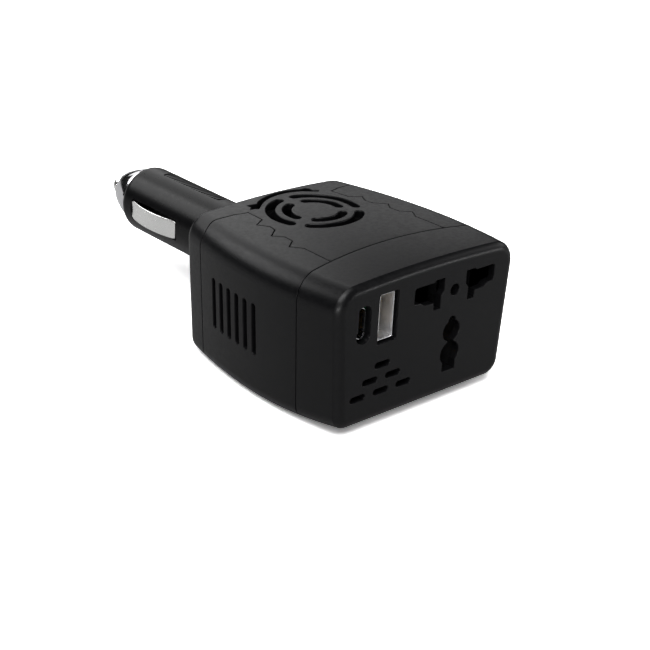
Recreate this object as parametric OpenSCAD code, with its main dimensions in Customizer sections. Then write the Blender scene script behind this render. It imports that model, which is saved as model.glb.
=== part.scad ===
// Plug-in power inverter: a 12 V accessory plug at the rear, a universal
// outlet and two USB ports on the front face, and a small cooling fan.
// Every module is drawn in the outlet frame: x to the right seen from the
// outlet, y from the outlet face towards the plug, z up from the plug axis.

/* [Body] */
// Length of the body from the outlet face to the rear face
body_l = 68.2; // [66:0.1:70]
// Width at the outlet face
face_w = 63.7; // [62:0.1:65]
// Width half way along the body
mid_w = 67.7; // [66:0.1:70]
// Width at the rear face
rear_w = 56.4; // [55:0.1:58]
// Height of the plug axis above the flat part of the underside
axis_h = 22.9; // [22.6:0.1:23.2]
// Rise of the underside at the outlet face
underside_rise = 2.7; // [2.4:0.1:3]
// Height of the top above the plug axis at the outlet face
face_top = 20.9; // [20.5:0.1:21.5]
// Height of the top above the plug axis at the rear face
rear_top = 19.9; // [19.5:0.1:20.5]
// Crown of the top across its width
crown = 1.6; // [1:0.1:2]
// Wall thickness of the shells
wall = 2; // [1.8:0.1:2.2]
// Gap between two shells at a seam
seam_gap = 0.2; // [0.1:0.05:0.3]

/* [Outlet] */
// Sideways place of the universal outlet
outlet_x = 9.7; // [9:0.1:10.5]
// Height of the live and neutral openings above the plug axis
outlet_z = 12.4; // [12:0.1:12.8]
// Drop from that line to the lower earth opening's floor
earth_drop = 25.8; // [25.4:0.1:26.2]

/* [Ports] */
// Sideways place of the USB-A port
usb_a_x = -14.9; // [-15.2:0.1:-14.6]
// Sideways place of the USB-C port
usb_c_x = -23.5; // [-23.8:0.1:-23.2]
// Height of both ports above the plug axis
usb_z = 9; // [8.6:0.1:9.4]

/* [Cooling] */
// Distance of the fan's centre from the outlet face
fan_y = 46.6; // [46.2:0.1:47]
// Outer radius of the outer grille slots
grille_r = 13.9; // [13.5:0.1:14.3]
// Number of louvres in each side wall
louvre_n = 6; // [4:1:6]
// Spacing of the louvres
louvre_pitch = 3.88; // [3.6:0.01:4]

/* [Plug] */
// Radius of the plug barrel
barrel_r = 10.4; // [10.2:0.05:10.5]
// Distance of the barrel's shoulder from the outlet face
barrel_end = 127; // [125:0.5:128]
// Distance of the contact's tip from the outlet face
tip_y = 142.5; // [142:0.5:143.5]

/* [Hidden] */

$fn = 64;
flat_from = 38;         // where the underside turns flat
front_seam = 14.2;      // y of the front seam at the side walls
seam_bow = 3.5;         // how far it bows rearwards on the centre line
rear_seam = 58.3;       // y of the rear seam at the side walls
face_round = 2.7;       // rounding round the outlet face
face_crease = 18;       // angle at which it leaves the sides
rear_round = 3.1;       // rounding of the rear edges
top_corner = 6.7;       // long top edges
bottom_corner = 4.6;    // long bottom edges
side_draft = 1.2;       // how far the sides lean out at the top
fit_gap = 0.1;          // gap between neighbouring pieces
eps = 0.01;

// ---------- placing ----------
module placed() translate([0, -tip_y / 2, axis_h]) children();
module at(x = 0, y = 0, z = 0) translate([x, y, z]) children();
// a cylinder that runs along y from y0 to y1
module rod(r, y0, y1) at(y = y0) rotate([-90, 0, 0]) cylinder(r = r, h = y1 - y0);
// a box given by its two corners
module box(a, b) translate(a) cube(b - a);
// turns a profile of [radius, y] points about the plug axis
module turned(points) rotate([-90, 0, 0]) rotate_extrude() polygon(points);
// a plan outline (x, y) extruded from z0 to z1
module plan(z0, z1) at(z = z0) linear_extrude(z1 - z0) children();
// an outline seen from the outlet (x, z) extruded from y0 to y1
module facing(y0, y1) at(y = y1) rotate([90, 0, 0]) linear_extrude(y1 - y0) children();

// ---------- body form ----------
// parabola through a at s = 0, m at s = 0.5 and b at s = 1
function curve(a, m, b, s) = a * (1 - s) * (1 - 2 * s) + 4 * m * s * (1 - s) + b * s * (2 * s - 1);
function half_w(y) = curve(face_w, mid_w, rear_w, y / body_l) / 2;
top_bulge = 0.7;        // how far the top bulges between its ends
function top_z(y) = curve(face_top, (face_top + rear_top) / 2 + top_bulge, rear_top, y / body_l);
function bottom_z(y) = underside_rise * pow(max(1 - y / flat_from, 0), 2) - axis_h;
function crown_at(y) = crown * (0.8 + 0.45 * sin(180 * y / body_l));
// a quarter arc from angle a0, in n steps
function arc(cx, cz, r, a0, n) = [for (i = [0:n]) let (a = a0 + 90 * i / n) [cx + r * cos(a), cz + r * sin(a)]];
// right half of a section: up the side and over the top, w wide, from zb to zt
function half_section(w, zb, zt, rb, rt, n) = concat(
    arc(w - rb, zb + rb, rb, -90, n),
    arc(w - rt, zt - rt, rt, 0, n),
    [for (i = [1:2]) [(w - rt) * (3 - i) / 3, zt]]);
function mirrored(half) = concat(
    half, [[0, half[len(half) - 1][1]]],
    [for (i = [len(half) - 1:-1:0]) [-half[i][0], half[i][1]]]);
// crowns the top and widens the sides towards the top
function shaped(p, w, zb, zt, c) = let (up = (p[1] - zb) / (zt - zb)) [
    p[0] * (1 + side_draft / w * (2 * up - 1)),
    p[1] - c * up * pow(p[0] / w, 2)];
function section(y, inset, n) =
    let (w = half_w(y) - inset, zt = top_z(y) - inset, zb = bottom_z(y) + inset)
    let (rt = max(top_corner - inset, 1.2), rb = max(bottom_corner - inset, 1.2))
    [for (p = mirrored(half_section(w, zb, zt, rb, rt, n)))
        let (q = shaped(p, w, zb, zt, crown_at(y))) [q[0], y, q[1]]];
// skin over a list of rings of equal length
module skin(rings) {
    n = len(rings[0]);
    m = len(rings);
    polyhedron(
        points = [for (r = rings) for (p = r) p],
        faces = concat(
            [[for (i = [n - 1:-1:0]) i]],
            [for (j = [0:m - 2]) for (i = [0:n - 1]) let (k = (i + 1) % n)
                for (f = [[j * n + i, j * n + k, (j + 1) * n + k], [j * n + i, (j + 1) * n + k, (j + 1) * n + i]]) f],
            [[for (i = [0:n - 1]) (m - 1) * n + i]]));
}
// stations along y as [y, inset]
outer_steps = concat(
    [for (a = [90, 72, 55, 36, face_crease])
        [face_round * (1 - sin(a)), face_round * (cos(face_crease) - cos(a))]],
    [for (i = [0:11]) [face_round + (body_l - face_round - rear_round) * i / 12, 0]],
    [for (i = [0:4]) let (a = 90 * i / 4)
        [body_l - rear_round * (1 - sin(a)), rear_round * (1 - cos(a))]]);
module outer_form() skin([for (s = outer_steps) section(s[0], s[1], 6)]);
// the same form, d smaller all round, from y0 to y1
module inner_form(d, y0, y1) let (n = ceil((y1 - y0) / 6))
    skin([for (i = [0:n]) section(y0 + (y1 - y0) * i / n, d, 4)]);

// ---------- seams in plan ----------
function seam_y(x) = front_seam + seam_bow * (1 - pow(x / 34.5, 2));
big = 40;
module before_front_seam(shift) polygon(concat(
    [[-big, -5], [-big, seam_y(34.5) + shift]],
    [for (i = [-8:8]) let (x = 34.5 * i / 8) [x, seam_y(x) + shift]],
    [[big, seam_y(34.5) + shift], [big, -5]]));
// half of the tongue's edge: the rear seam, then the saw-tooth run to the front seam
tongue_edge = [
    [26, 59.4], [20.5, 58.7], [15.6, 57.2], [16.2, 50.3], [19.8, 48.3], [17.9, 44.9], [18.4, 42.2],
    [21.8, 39.6], [19.6, 36.4], [19.9, 33.1], [23, 30.8], [20.8, 27.3], [21.3, 12]];
module behind_rear_seam() polygon(concat(
    [[big, body_l + 5], [big, rear_seam], [31, rear_seam]],
    tongue_edge,
    [for (i = [len(tongue_edge) - 1:-1:0]) [-tongue_edge[i][0], tongue_edge[i][1]]],
    [[-31, rear_seam], [-big, rear_seam], [-big, body_l + 5]]));
module behind_plain_seam(shift) polygon([
    [-big, rear_seam + shift], [big, rear_seam + shift], [big, body_l + 5], [-big, body_l + 5]]);
tongue_floor = 12.5;    // the tongue is a plate above this height

// ---------- openings ----------
// one side of the live and neutral openings: a wide slot and a tall blade slot
module blade_opening() polygon([
    [14.6, 2.15], [15.2, 1.6], [15.25, -1.9], [14.8, -2.45], [12.8, -2.65], [11.2, -3.6], [7.9, -3.8],
    [7.7, -5.95], [5.2, -5.95], [5.27, -2.25], [4.2, -0.95], [4.2, 2.7], [7.45, 2.7], [8, 2.15]]);
module earth_opening() {
    at(y = -10.9) circle(r = 1.35);
    at(x = -1.35, y = -11.6) square([2.7, 0.7]);
    at(y = -13.9) circle(r = 3.15);
    at(y = -20.6) circle(r = 3.5);
    at(x = -1.1, y = -18) square([2.2, 2.5]);
    at(x = -2.4, y = -earth_drop) square([4.8, 5]);
}
module outlet_openings() at(x = outlet_x, y = outlet_z) {
    blade_opening();
    mirror([1, 0]) blade_opening();
    at(y = -1.75) circle(r = 1.65);
    earth_opening();
}
// a rectangle with round corners, centred
module rounded(w, h, r) union() {
    at(-w / 2 + r, -h / 2) square([w - 2 * r, h]);
    at(-w / 2, -h / 2 + r) square([w, h - 2 * r]);
    for (sx = [-1, 1], sz = [-1, 1]) at(sx * (w / 2 - r), sz * (h / 2 - r)) circle(r = r);
}
slot_w = 5.4;
slot_h = 1.75;
module face_slots() for (row = [0:2], i = [0:row])
    at(-15.9 + 4.15 * (2 * i - row), -4.2 - 3.9 * row) rounded(slot_w, slot_h, slot_h / 2 - eps);
module port_openings() {
    at(usb_a_x, usb_z) rounded(6.9, 14.2, 0.5);
    at(usb_c_x, usb_z) rounded(4.8, 10.6, 2.2);
}
// n + 1 points from angle a0 to a1 round a centre
function sweep(c, r, a0, a1, n) = [for (i = [0:n]) let (a = a0 + (a1 - a0) * i / n) c + r * [cos(a), sin(a)]];
// a ring slot of mid radius r and width w, from angle a0 to a1, with round ends
module ring_slot(r, w, a0, a1) polygon(concat(
    sweep([0, 0], r + w / 2, a0, a1, 12),
    sweep(r * [cos(a1), sin(a1)], w / 2, a1 + 30, a1 + 150, 4),
    sweep([0, 0], r - w / 2, a1, a0, 12),
    sweep(r * [cos(a0), sin(a0)], w / 2, a0 + 210, a0 + 330, 4)));
// three slots in each of two rings, between bridges at 90, 210 and 330 degrees
module grille() at(y = fan_y) for (k = [0:2]) {
    ring_slot(grille_r - 1.3, 2.6, 120 * k + 102.5, 120 * k + 197.5);
    ring_slot(grille_r - 5.95, 2.5, 120 * k + 110.5, 120 * k + 189.5);
}
// points of [radius, angle] in order, about the fan's centre
function polar(list) = [for (p = list) p[0] * [cos(p[1]), sin(p[1])]];
// curved slot behind the grille, wider towards its right end, with forked ends
module swept_slot() at(y = fan_y) polygon(polar(concat(
    [for (i = [0:8]) [18.9 - 1.5 * i / 8, 62 + 7 * i]],
    [[17, 123], [19.4, 129.5], [18, 133], [18.2, 139], [17, 137.5], [15.8, 137]],
    [for (i = [8:-1:0]) [17.1 - 1.5 * i / 8, 62 + 8 * i]],
    [[16.9, 51], [17.2, 45], [18.4, 45], [18.2, 51], [19.7, 53.5], [19.8, 57]])));
louvre_w = 1.65;
louvre_h = 15.3;
louvre_y = 50.8;
louvre_z = -1.2;
module louvres() for (i = [0:louvre_n - 1], s = [-1, 1]) at(y = louvre_y - i * louvre_pitch)
    for (dz = [-1, 1]) {
        at(s * 30, 0, louvre_z) cube([24, louvre_w, louvre_h - louvre_w], center = true);
        at(s * 30, 0, louvre_z + dz * (louvre_h - louvre_w) / 2) rotate([0, 90, 0])
            cylinder(r = louvre_w / 2, h = 24, center = true, $fn = 24);
    }

// ---------- screw places ----------
screw_x = 20;
screw_z = [-15.6, 12.6];
module at_screws() for (sx = [-1, 1], z = screw_z) at(sx * screw_x, 0, z) children();
post_r = 3.2;
post_y = 51.5;          // front end of the posts in the main shell
standoff_r = 2.6;
board_z = -13;          // top of the main board
board_t = 1.6;
standoffs = [[-19, 22], [19, 22], [-19, 47], [19, 47]];

// ---------- shells ----------
module front_housing() placed() color("#232326") difference() {
    union() {
        intersection() {
            difference() {
                outer_form();
                inner_form(wall, 2.2, 34);
            }
            plan(-big, big) before_front_seam(0);
        }
        // lip that enters the main shell
        intersection() {
            difference() {
                inner_form(wall - 0.05, 8, 34);
                inner_form(wall + 1, 7.9, 34.1);
            }
            plan(-big, big) difference() {
                before_front_seam(-0.4);
                before_front_seam(-3);
            }
        }
        intersection() {
            difference() {
                inner_form(wall + fit_gap, 8, 34);
                inner_form(wall + 1, 7.9, 34.1);
            }
            plan(-big, big) difference() {
                before_front_seam(2.4);
                before_front_seam(-1);
            }
        }
    }
    facing(-1, 4) outlet_openings();
    facing(-1, 4) face_slots();
    facing(-1, 4) port_openings();
}

module main_shell() placed() color("#232326") difference() {
    union() {
        difference() {
            outer_form();
            inner_form(wall, -1, body_l + 1);
            plan(-big, big) before_front_seam(seam_gap);
            plan(tongue_floor, big) offset(delta = seam_gap) behind_rear_seam();
            plan(-big, tongue_floor) behind_plain_seam(-seam_gap);
        }
        // screw posts, each tied to the side wall
        at_screws() rod(post_r, post_y, rear_seam - seam_gap);
        for (sx = [-1, 1], z = screw_z) at(sx * (screw_x + 5.5), post_y + 2, z) cube([9, 4, 3], center = true);
        // standoffs under the main board
        for (p = standoffs) let (foot = bottom_z(p[1]) + wall - 1)
            at(p[0], p[1], foot) cylinder(r = standoff_r, h = board_z - board_t - foot);
    }
    louvres();
    at_screws() rod(1.1, post_y - 1, rear_seam + 1);
    for (p = standoffs) at(p[0], p[1], board_z - 7) cylinder(r = 0.9, h = 8);
}

module rear_housing() placed() color("#232326") difference() {
    union() {
        difference() {
            outer_form();
            inner_form(wall, -1, body_l - wall);
            // keep the cap behind the rear seam, and the tongue above its floor
            plan(-big, tongue_floor) difference() {
                at(-big, -5) square([2 * big, body_l + 10]);
                behind_plain_seam(0);
            }
            plan(tongue_floor - eps, big) difference() {
                at(-big, -5) square([2 * big, body_l + 10]);
                behind_rear_seam();
            }
            plan(-big, big) before_front_seam(seam_gap);
        }
        // collar behind the wall for the plug barrel
        rod(barrel_r + 2.6, 62, body_l - 1);
        at_screws() rod(post_r, rear_seam, body_l - 1);
        // pegs that hold the fan by its front corner holes
        for (sx = [-1, 1]) at(sx * 12, fan_y - 12, 12) cylinder(r = 1.45, h = 7);
    }
    rod(barrel_r + 0.05, 64, body_l + 1);
    rod(barrel_r - 2.4, 61, 65);
    at_screws() rod(1.5, rear_seam - 1, body_l + 1);
    at_screws() rod(2.9, body_l - 3.2, body_l + 1);
    plan(tongue_floor, big) grille();
    plan(tongue_floor, big) swept_slot();
}

// ---------- plug ----------
shoulder_r = 3;         // rounding of the barrel's front shoulder
neck_r = 6.3;           // threaded neck that the nose nut screws on
neck_end = barrel_end + 4.5;
fuse_r = 3.2;
fuse_end = barrel_end;
fuse_l = 30;
flange_r = 4.7;
shaft_r = 3.8;
contact_travel = 3;
leaf_mid = 109.3;       // middle of the side contacts
leaf_l = 22.4;
leaf_w = 5.9;
leaf_t = 0.5;
leaf_bow = 1.7;
leaf_out = 11.9;        // how far the leaf stands from the axis
leaf_r = (pow(leaf_l / 2, 2) + pow(leaf_bow, 2)) / (2 * leaf_bow);
rib_y0 = 90.3;
rib_pitch = 1.25;
rib_n = 21;
rib_x = [-0.6, 5.6];

module plug_barrel() placed() color("#19191c") difference() {
    turned(concat(
        [[0, 64.1], [barrel_r, 64.1], [barrel_r, barrel_end - shoulder_r]],
        [for (i = [0:6]) [barrel_r - shoulder_r * (1 - cos(15 * i)), barrel_end - shoulder_r * (1 - sin(15 * i))]],
        [[neck_r, barrel_end], [neck_r, neck_end], [0, neck_end]]));
    // lead space, fuse tube and room for the contact's flange
    rod(7.2, 63, 84);
    rod(fuse_r + 0.35, 80, neck_end + 1);
    rod(flange_r + fit_gap, neck_end - 1.6 - contact_travel, neck_end + 1);
    // pockets for the side contacts
    for (s = [-1, 1]) at(s * 9.3, leaf_mid, 0) cube([4, leaf_l + 0.6, leaf_w + 0.7], center = true);
    for (s = [-1, 1]) box([s * 8 - 1, 63, -1.2], [s * 8 + 1, leaf_mid, 1.2]);
    // ribbed recess on top
    difference() {
        box([rib_x[0], rib_y0 - 0.6, 4], [rib_x[1], rib_y0 + rib_pitch * rib_n + 0.6, 12]);
        rod(barrel_r - 0.7, rib_y0 - 2, rib_y0 + rib_pitch * rib_n + 2);
        for (i = [0:rib_n - 1])
            rod(barrel_r - 0.2, rib_y0 + rib_pitch * (i + 0.2), rib_y0 + rib_pitch * (i + 0.85));
    }
}

washer_y = neck_end + fit_gap;
nut_front = 135.6;
module nose_nut() placed() color("#d8d8da") difference() {
    turned(concat(
        [[0, barrel_end + 0.4], [8.5, barrel_end + 0.4]],
        [for (i = [0:6]) let (s = i / 6) [8.7 - 2.7 * pow(s, 1.35), barrel_end + 0.7 + (nut_front - barrel_end - 1) * s]],
        [[5.7, nut_front], [0, nut_front]]));
    rod(neck_r + 0.05, barrel_end, neck_end + 0.9);
    rod(5.05, barrel_end, nut_front + 1);
}

module nose_washer() placed() color("#101012") difference() {
    union() {
        rod(6.2, washer_y, washer_y + 0.7);
        rod(4.95, washer_y, nut_front + 0.2);
    }
    rod(shaft_r + 0.08, washer_y - 1, nut_front + 1);
}

module centre_contact() placed() color("#c9c9cc") turned(concat(
    [[0, fuse_end + 0.05], [3.1, fuse_end + 0.05], [3.1, neck_end - 1.6], [flange_r, neck_end - 1.6],
     [flange_r, neck_end - 0.1], [shaft_r, neck_end - 0.1], [shaft_r, tip_y - 4.6],
     [shaft_r - 0.35, tip_y - 4.3], [shaft_r - 0.35, tip_y - 3.9], [shaft_r, tip_y - 3.6]],
    [[shaft_r, tip_y - 3.1], [3.3, tip_y - 2.8], [3.3, tip_y - 2.4], [3.45, tip_y - 2.1], [3.2, tip_y - 1.6],
     [2.6, tip_y - 1.4], [2.6, tip_y - 1.1], [2.3, tip_y - 0.6], [1.3, tip_y - 0.1], [0, tip_y]]));

module fuse() placed() {
    color("#d9dde0") rod(2.9, fuse_end - fuse_l + 6, fuse_end - 6);
    color("#c0c0c4") for (y = [fuse_end - fuse_l, fuse_end - 6.05]) rod(fuse_r, y, y + 6.05);
}

spring_y = [88.5, fuse_end - fuse_l - 0.1];
module contact_spring() placed() color("#b9bcc2") difference() {
    rod(2.8, spring_y[0], spring_y[1]);
    rod(2.1, spring_y[0] - 1, spring_y[1] + 1);
}

module spring_seat() placed() color("#c7a04a") {
    rod(3.4, 86.6, 88.4);
    rod(1.2, 81, 86.6);
}

module leaf(s) intersection() {
    at(s * (leaf_out - leaf_r), leaf_mid, -leaf_w / 2) difference() {
        cylinder(r = leaf_r, h = leaf_w, $fn = 180);
        at(z = -1) cylinder(r = leaf_r - leaf_t, h = leaf_w + 2, $fn = 180);
    }
    box([s > 0 ? 2 : -20, leaf_mid - leaf_l / 2, -leaf_w / 2 - 1], [s > 0 ? 20 : -2, leaf_mid + leaf_l / 2, leaf_w / 2 + 1]);
}
module side_contact_left() placed() color("#d0d2d4") leaf(-1);
module side_contact_right() placed() color("#d0d2d4") leaf(1);

// brass strap that joins the side contacts at the back of their pockets
module ground_strap() placed() color("#c7a04a") for (s = [-1, 1])
    box([s * 7.8 - 0.3, 70, -1], [s * 7.8 + 0.3, leaf_mid - leaf_l / 2 - 0.6, 1]);

// ---------- outlet ----------
carrier_y = [2.4, 16.4];
module carrier_outline() at(outlet_x, outlet_z) {
    polygon([[-17.2, -9], [17.2, -9], [17.2, 3.9], [11, 4.5], [-17.2, 4.5]]);
    at(-7.4, -30) square([14.8, 22]);
}
// wider than the openings in the face, so the cavities are hidden steps
module carrier_cavities() at(outlet_x, outlet_z) {
    for (s = [-1, 1]) {
        at(s * 9.7 - 5.9, -4.3) square([11.8, 7.6]);
        at(s * 6.45 - 1.6, -6.4) square([3.2, 10]);
    }
    at(y = -1.75) circle(r = 2);
    at(y = -12.6) circle(r = 5);
    at(y = -20.6) circle(r = 4.4);
    at(-3, -26.4) square([6, 14]);
}
module socket_carrier() placed() color("#2c2c30") difference() {
    facing(carrier_y[0], carrier_y[1]) carrier_outline();
    facing(carrier_y[0] - 1, carrier_y[1] - 1.6) carrier_cavities();
    // lead slots in the back
    for (x = [-9.7, 9.7]) at(outlet_x + x, carrier_y[1], outlet_z - 0.5) cube([2.6, 8, 2.6], center = true);
    at(outlet_x, carrier_y[1], outlet_z - 16) cube([2.6, 8, 2.6], center = true);
}
clip_t = 0.5;
clip_y = [6.4, 14];     // from the leaves' mouth to the web
tab_w = 1.8;
tab_end = 17.4;
// two leaves that grip a blade or pin, joined by a back web with a solder tab
module clip(h, gap) {
    for (s = [-1, 1]) at(s * (gap + clip_t) / 2, (clip_y[0] + clip_y[1]) / 2, 0)
        cube([clip_t, clip_y[1] - clip_y[0], h], center = true);
    box([-gap / 2 - clip_t, clip_y[1] - clip_t, -h / 2], [gap / 2 + clip_t, clip_y[1], h / 2]);
    box([-tab_w / 2, clip_y[1], -tab_w / 2], [tab_w / 2, tab_end, tab_w / 2]);
}
module live_contact() placed() color("#c7a04a") at(outlet_x - 9.7, 0, outlet_z - 0.5) clip(5.6, 10.4);
module neutral_contact() placed() color("#c7a04a") at(outlet_x + 9.7, 0, outlet_z - 0.5) clip(5.6, 10.4);
module earth_contact() placed() color("#c7a04a") at(outlet_x, 0, outlet_z - 16) clip(12, 5);

// ---------- ports ----------
usb_a_size = [5.7, 13.1];
usb_a_y = [1.1, 15];
usb_c_size = [3.26, 8.94];
usb_c_y = [1.4, 9];
// a sheet-metal can of wall t, open at the front and closed behind by back
module port_can(size, y, r, t, back) difference() {
    facing(y[0], y[1]) rounded(size[0], size[1], r);
    facing(y[0] - 1, y[1] - back) rounded(size[0] - 2 * t, size[1] - 2 * t, r - t + 0.1);
}
module usb_a_shell() placed() color("#cfd2d6") at(usb_a_x, 0, usb_z)
    port_can(usb_a_size, usb_a_y, 0.5, 0.3, 0.4);
module usb_a_tongue() placed() {
    color("#e8e8ea") box([usb_a_x - 2.1, 2.9, usb_z - 5.6], [usb_a_x - 0.3, 14.5, usb_z + 5.6]);
    color("#c7a04a") for (i = [0:3]) at(usb_a_x - 0.3, 3.6, usb_z - 4.1 + 2.5 * i) cube([0.12, 8, 1]);
}
module usb_c_shell() placed() color("#cfd2d6") at(usb_c_x, 0, usb_z)
    port_can(usb_c_size, usb_c_y, 1.62, 0.3, 0.4);
module usb_c_tongue() placed() color("#1d1d20")
    box([usb_c_x - 0.35, 2.3, usb_z - 3.3], [usb_c_x + 0.35, usb_c_y[1] - 0.5, usb_z + 3.3]);
usb_board_x = usb_a_x - 4.6;
module usb_board() placed() {
    color("#1e5b3a") box([usb_board_x, 2.6, usb_z - 12], [usb_board_x + board_t, 30, usb_z + 7.6]);
    color("#2b2b2e") {
        box([usb_board_x + board_t, 18, usb_z - 4], [usb_board_x + board_t + 1.4, 23, usb_z + 1]);
        box([usb_board_x + board_t, 18, usb_z - 10.5], [usb_board_x + board_t + 3, 25, usb_z - 5]);
    }
    // riser under the USB-C port
    color("#2b2b2e") box([usb_c_x + 1.65, 2.6, usb_z - 4.4], [usb_board_x, 9, usb_z + 4.4]);
    color("#b08a5a") box([usb_board_x + board_t, 24, usb_z - 3], [usb_board_x + board_t + 1.2, 25.4, usb_z + 3]);
}

// ---------- electronics ----------
board_x = 23.5;
board_y = [18.6, 50.5];
module main_board() placed() color("#1e5b3a") difference() {
    box([-board_x, board_y[0], board_z - board_t], [board_x, board_y[1], board_z]);
    for (p = standoffs) at(p[0], p[1], board_z - 5) cylinder(r = 1.2, h = 10);
}
core = [25, 14, 19];    // size of the transformer core
core_at = [1, 36, board_z + 0.1];
module transformer_core() placed() color("#3b3b3f") at(core_at[0], core_at[1], core_at[2]) difference() {
    at(-core[0] / 2, -core[1] / 2, 0) cube(core);
    for (s = [-1, 1]) at(s * 6.25, 0, core[2] / 2) cube([6.3, core[1] + 1, 13], center = true);
}
module transformer_winding() placed() color("#d8a640") at(core_at[0], core_at[1], core_at[2] + core[2] / 2) difference() {
    at(z = -6.4) linear_extrude(12.8) rounded(18.4, 20, 4);
    cube([6.4, core[1] + 0.4, 14], center = true);
    for (s = [-1, 1]) at(s * 12.6, 0, 0) cube([7, core[1] + 0.4, 14], center = true);
}
module can(r, h) {
    cylinder(r = r, h = h - 0.6);
    cylinder(r = r - 0.5, h = h);
}
module output_capacitor() placed() color("#25314d") at(-15.7, 36, board_z) can(3.9, 17);
module input_capacitors() placed() color("#25314d") for (y = [33.6, 40]) at(16.8, y, board_z) can(2.8, 14);
module choke() placed() color("#b5652c") at(14.8, 26.25, board_z + 4.6) rotate([90, 0, 0]) difference() {
    cylinder(r = 4.5, h = 4.8, center = true);
    cylinder(r = 2, h = 7, center = true);
}
sink_y = [20.4, 44];
module heat_sinks() placed() color("#b8bcc0") for (s = [-1, 1]) {
    box([s * 25.4 - 0.9, sink_y[0], board_z + 0.8], [s * 25.4 + 0.9, sink_y[1], 8.6]);
    for (i = [0:6]) at(s * 27.1, sink_y[0] + 0.6 + 3.6 * i, 0) box([-1.1, -0.5, board_z + 0.8], [1.1, 0.5, 8.6]);
}
module power_transistors() placed() for (s = [-1, 1], y = [24.5, 37.5]) {
    color("#1b1b1e") box([s * 22.2 - 2.2, y - 5, board_z + 4.2], [s * 22.2 + 2.2, y + 5, board_z + 13.4]);
    color("#b8bcc0") box([s * 23.9 - 0.6, y - 5, board_z + 4.2], [s * 23.9 + 0.6, y + 5, board_z + 19.4]);
    color("#b8bcc0") for (dy = [-2.54, 0, 2.54]) at(s * 22.6, y + dy, board_z) translate([-0.3, -0.4, 0]) cube([0.6, 0.8, 4.2]);
}

// ---------- fan ----------
fan_w = 30;
fan_z = [9.2, 16.8];
module fan_frame() placed() color("#17171a") at(y = fan_y) difference() {
    union() {
        difference() {
            at(z = fan_z[0]) linear_extrude(fan_z[1] - fan_z[0]) rounded(fan_w, fan_w, 2.2);
            at(z = fan_z[0] - 1) cylinder(r = 14, h = 10);
        }
        at(z = fan_z[0]) cylinder(r = 7, h = 1.4);
        for (a = [45:90:315]) rotate([0, 0, a]) at(6, -0.9, fan_z[0]) cube([8.6, 1.8, 1.2]);
        at(z = fan_z[0]) cylinder(r = 1.7, h = 3.6);
    }
    for (sx = [-1, 1], sy = [-1, 1]) at(sx * 12, sy * 12, fan_z[0] - 1) cylinder(r = 1.6, h = 10, $fn = 24);
}
blade_n = 7;
module fan_rotor() placed() color("#1f1f23") at(y = fan_y) difference() {
    union() {
        at(z = fan_z[0] + 1.8) cylinder(r = 6.6, h = 5.2);
        for (i = [0:blade_n - 1]) rotate([0, 0, 360 * i / blade_n]) at(9.8, 0, fan_z[0] + 4.6)
            rotate([38, 0, 0]) cube([7.4, 6.2, 0.7], center = true);
    }
    at(z = fan_z[0] + 1) cylinder(r = 1.78, h = 3.4);
    at(z = fan_z[0] + 1) cylinder(r = 5.8, h = 2.4);
}

// ---------- fasteners ----------
module screw(r, head_r, l) {
    cylinder(r = r, h = l);
    at(z = l) difference() {
        cylinder(r = head_r, h = 1.6);
        for (a = [0, 90]) rotate([0, 0, a]) at(z = 1.6) cube([2.6, 0.6, 1.6], center = true);
    }
}
module housing_screws() placed() color("#8d9096") at_screws()
    at(y = body_l - 3.15 - 14) rotate([-90, 0, 0]) screw(1.05, 2.6, 14);
module board_screws() placed() color("#8d9096")
    for (p = standoffs) at(p[0], p[1], board_z - 5) screw(0.85, 2, 5);

// ---------- leads ----------
function unit(v) = v / norm(v);
// the path's direction at point i
function heading(p, i) = unit(unit(p[min(i + 1, len(p) - 1)] - p[min(i, len(p) - 2)]) + unit(p[max(i, 1)] - p[max(i - 1, 0)]));
// a ring of radius r round point i, square to the path
function lead_ring(p, i, r) =
    let (u = unit(cross(heading(p, i), [1, 0, 0])), v = cross(heading(p, i), u))
    [for (k = [0:lead_sides - 1]) p[i] + r * (cos(-360 * k / lead_sides) * u + sin(-360 * k / lead_sides) * v)];
lead_sides = 10;
// a lead of radius r along a list of points
module lead(points, r) skin([for (i = [0:len(points) - 1]) lead_ring(points, i, r)]);
module positive_lead() placed() color("#a02020")
    lead([[0, 80.9, 0], [0, 60, 0], [-4, 53, -4], [-8, 48, -9], [-8, 48, board_z + 0.05]], 1.1);
module negative_lead() placed() color("#151517")
    lead([[6.9, 69.9, 0], [6, 66, 0], [5.5, 60, -1], [8, 53, -5], [8, 48, -9], [8, 48, board_z + 0.05]], 1.1);
module outlet_leads() placed() color("#a07020") for (s = [-1, 1])
    lead([[outlet_x + s * 9.7, 17.45, outlet_z - 0.5], [outlet_x + s * 9.7, 18.7, outlet_z - 0.5],
        [outlet_x + s * 9.5, 20.4, outlet_z - 2.5], [outlet_x + s * 7, 20.6, 2],
        [outlet_x + s * 4, 20.6, board_z + 2], [outlet_x + s * 4, 20.6, board_z + 0.05]], 0.9);

front_housing();
main_shell();
rear_housing();
plug_barrel();
nose_nut();
nose_washer();
centre_contact();
fuse();
contact_spring();
spring_seat();
side_contact_left();
side_contact_right();
ground_strap();
socket_carrier();
live_contact();
neutral_contact();
earth_contact();
usb_board();
usb_a_shell();
usb_a_tongue();
usb_c_shell();
usb_c_tongue();
main_board();
transformer_core();
transformer_winding();
output_capacitor();
input_capacitors();
choke();
heat_sinks();
power_transistors();
fan_frame();
fan_rotor();
housing_screws();
board_screws();
positive_lead();
negative_lead();
outlet_leads();
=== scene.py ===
"""Visual model of a plug-in power inverter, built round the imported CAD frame.

Lengths are in millimetres in the outlet frame: x to the right seen from the outlet face, y from that face
towards the plug, z up from the plug's axis. at() turns them into the row frame in metres.
"""
import math
import bmesh
import bpy
from mathutils import Matrix, Vector


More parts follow.
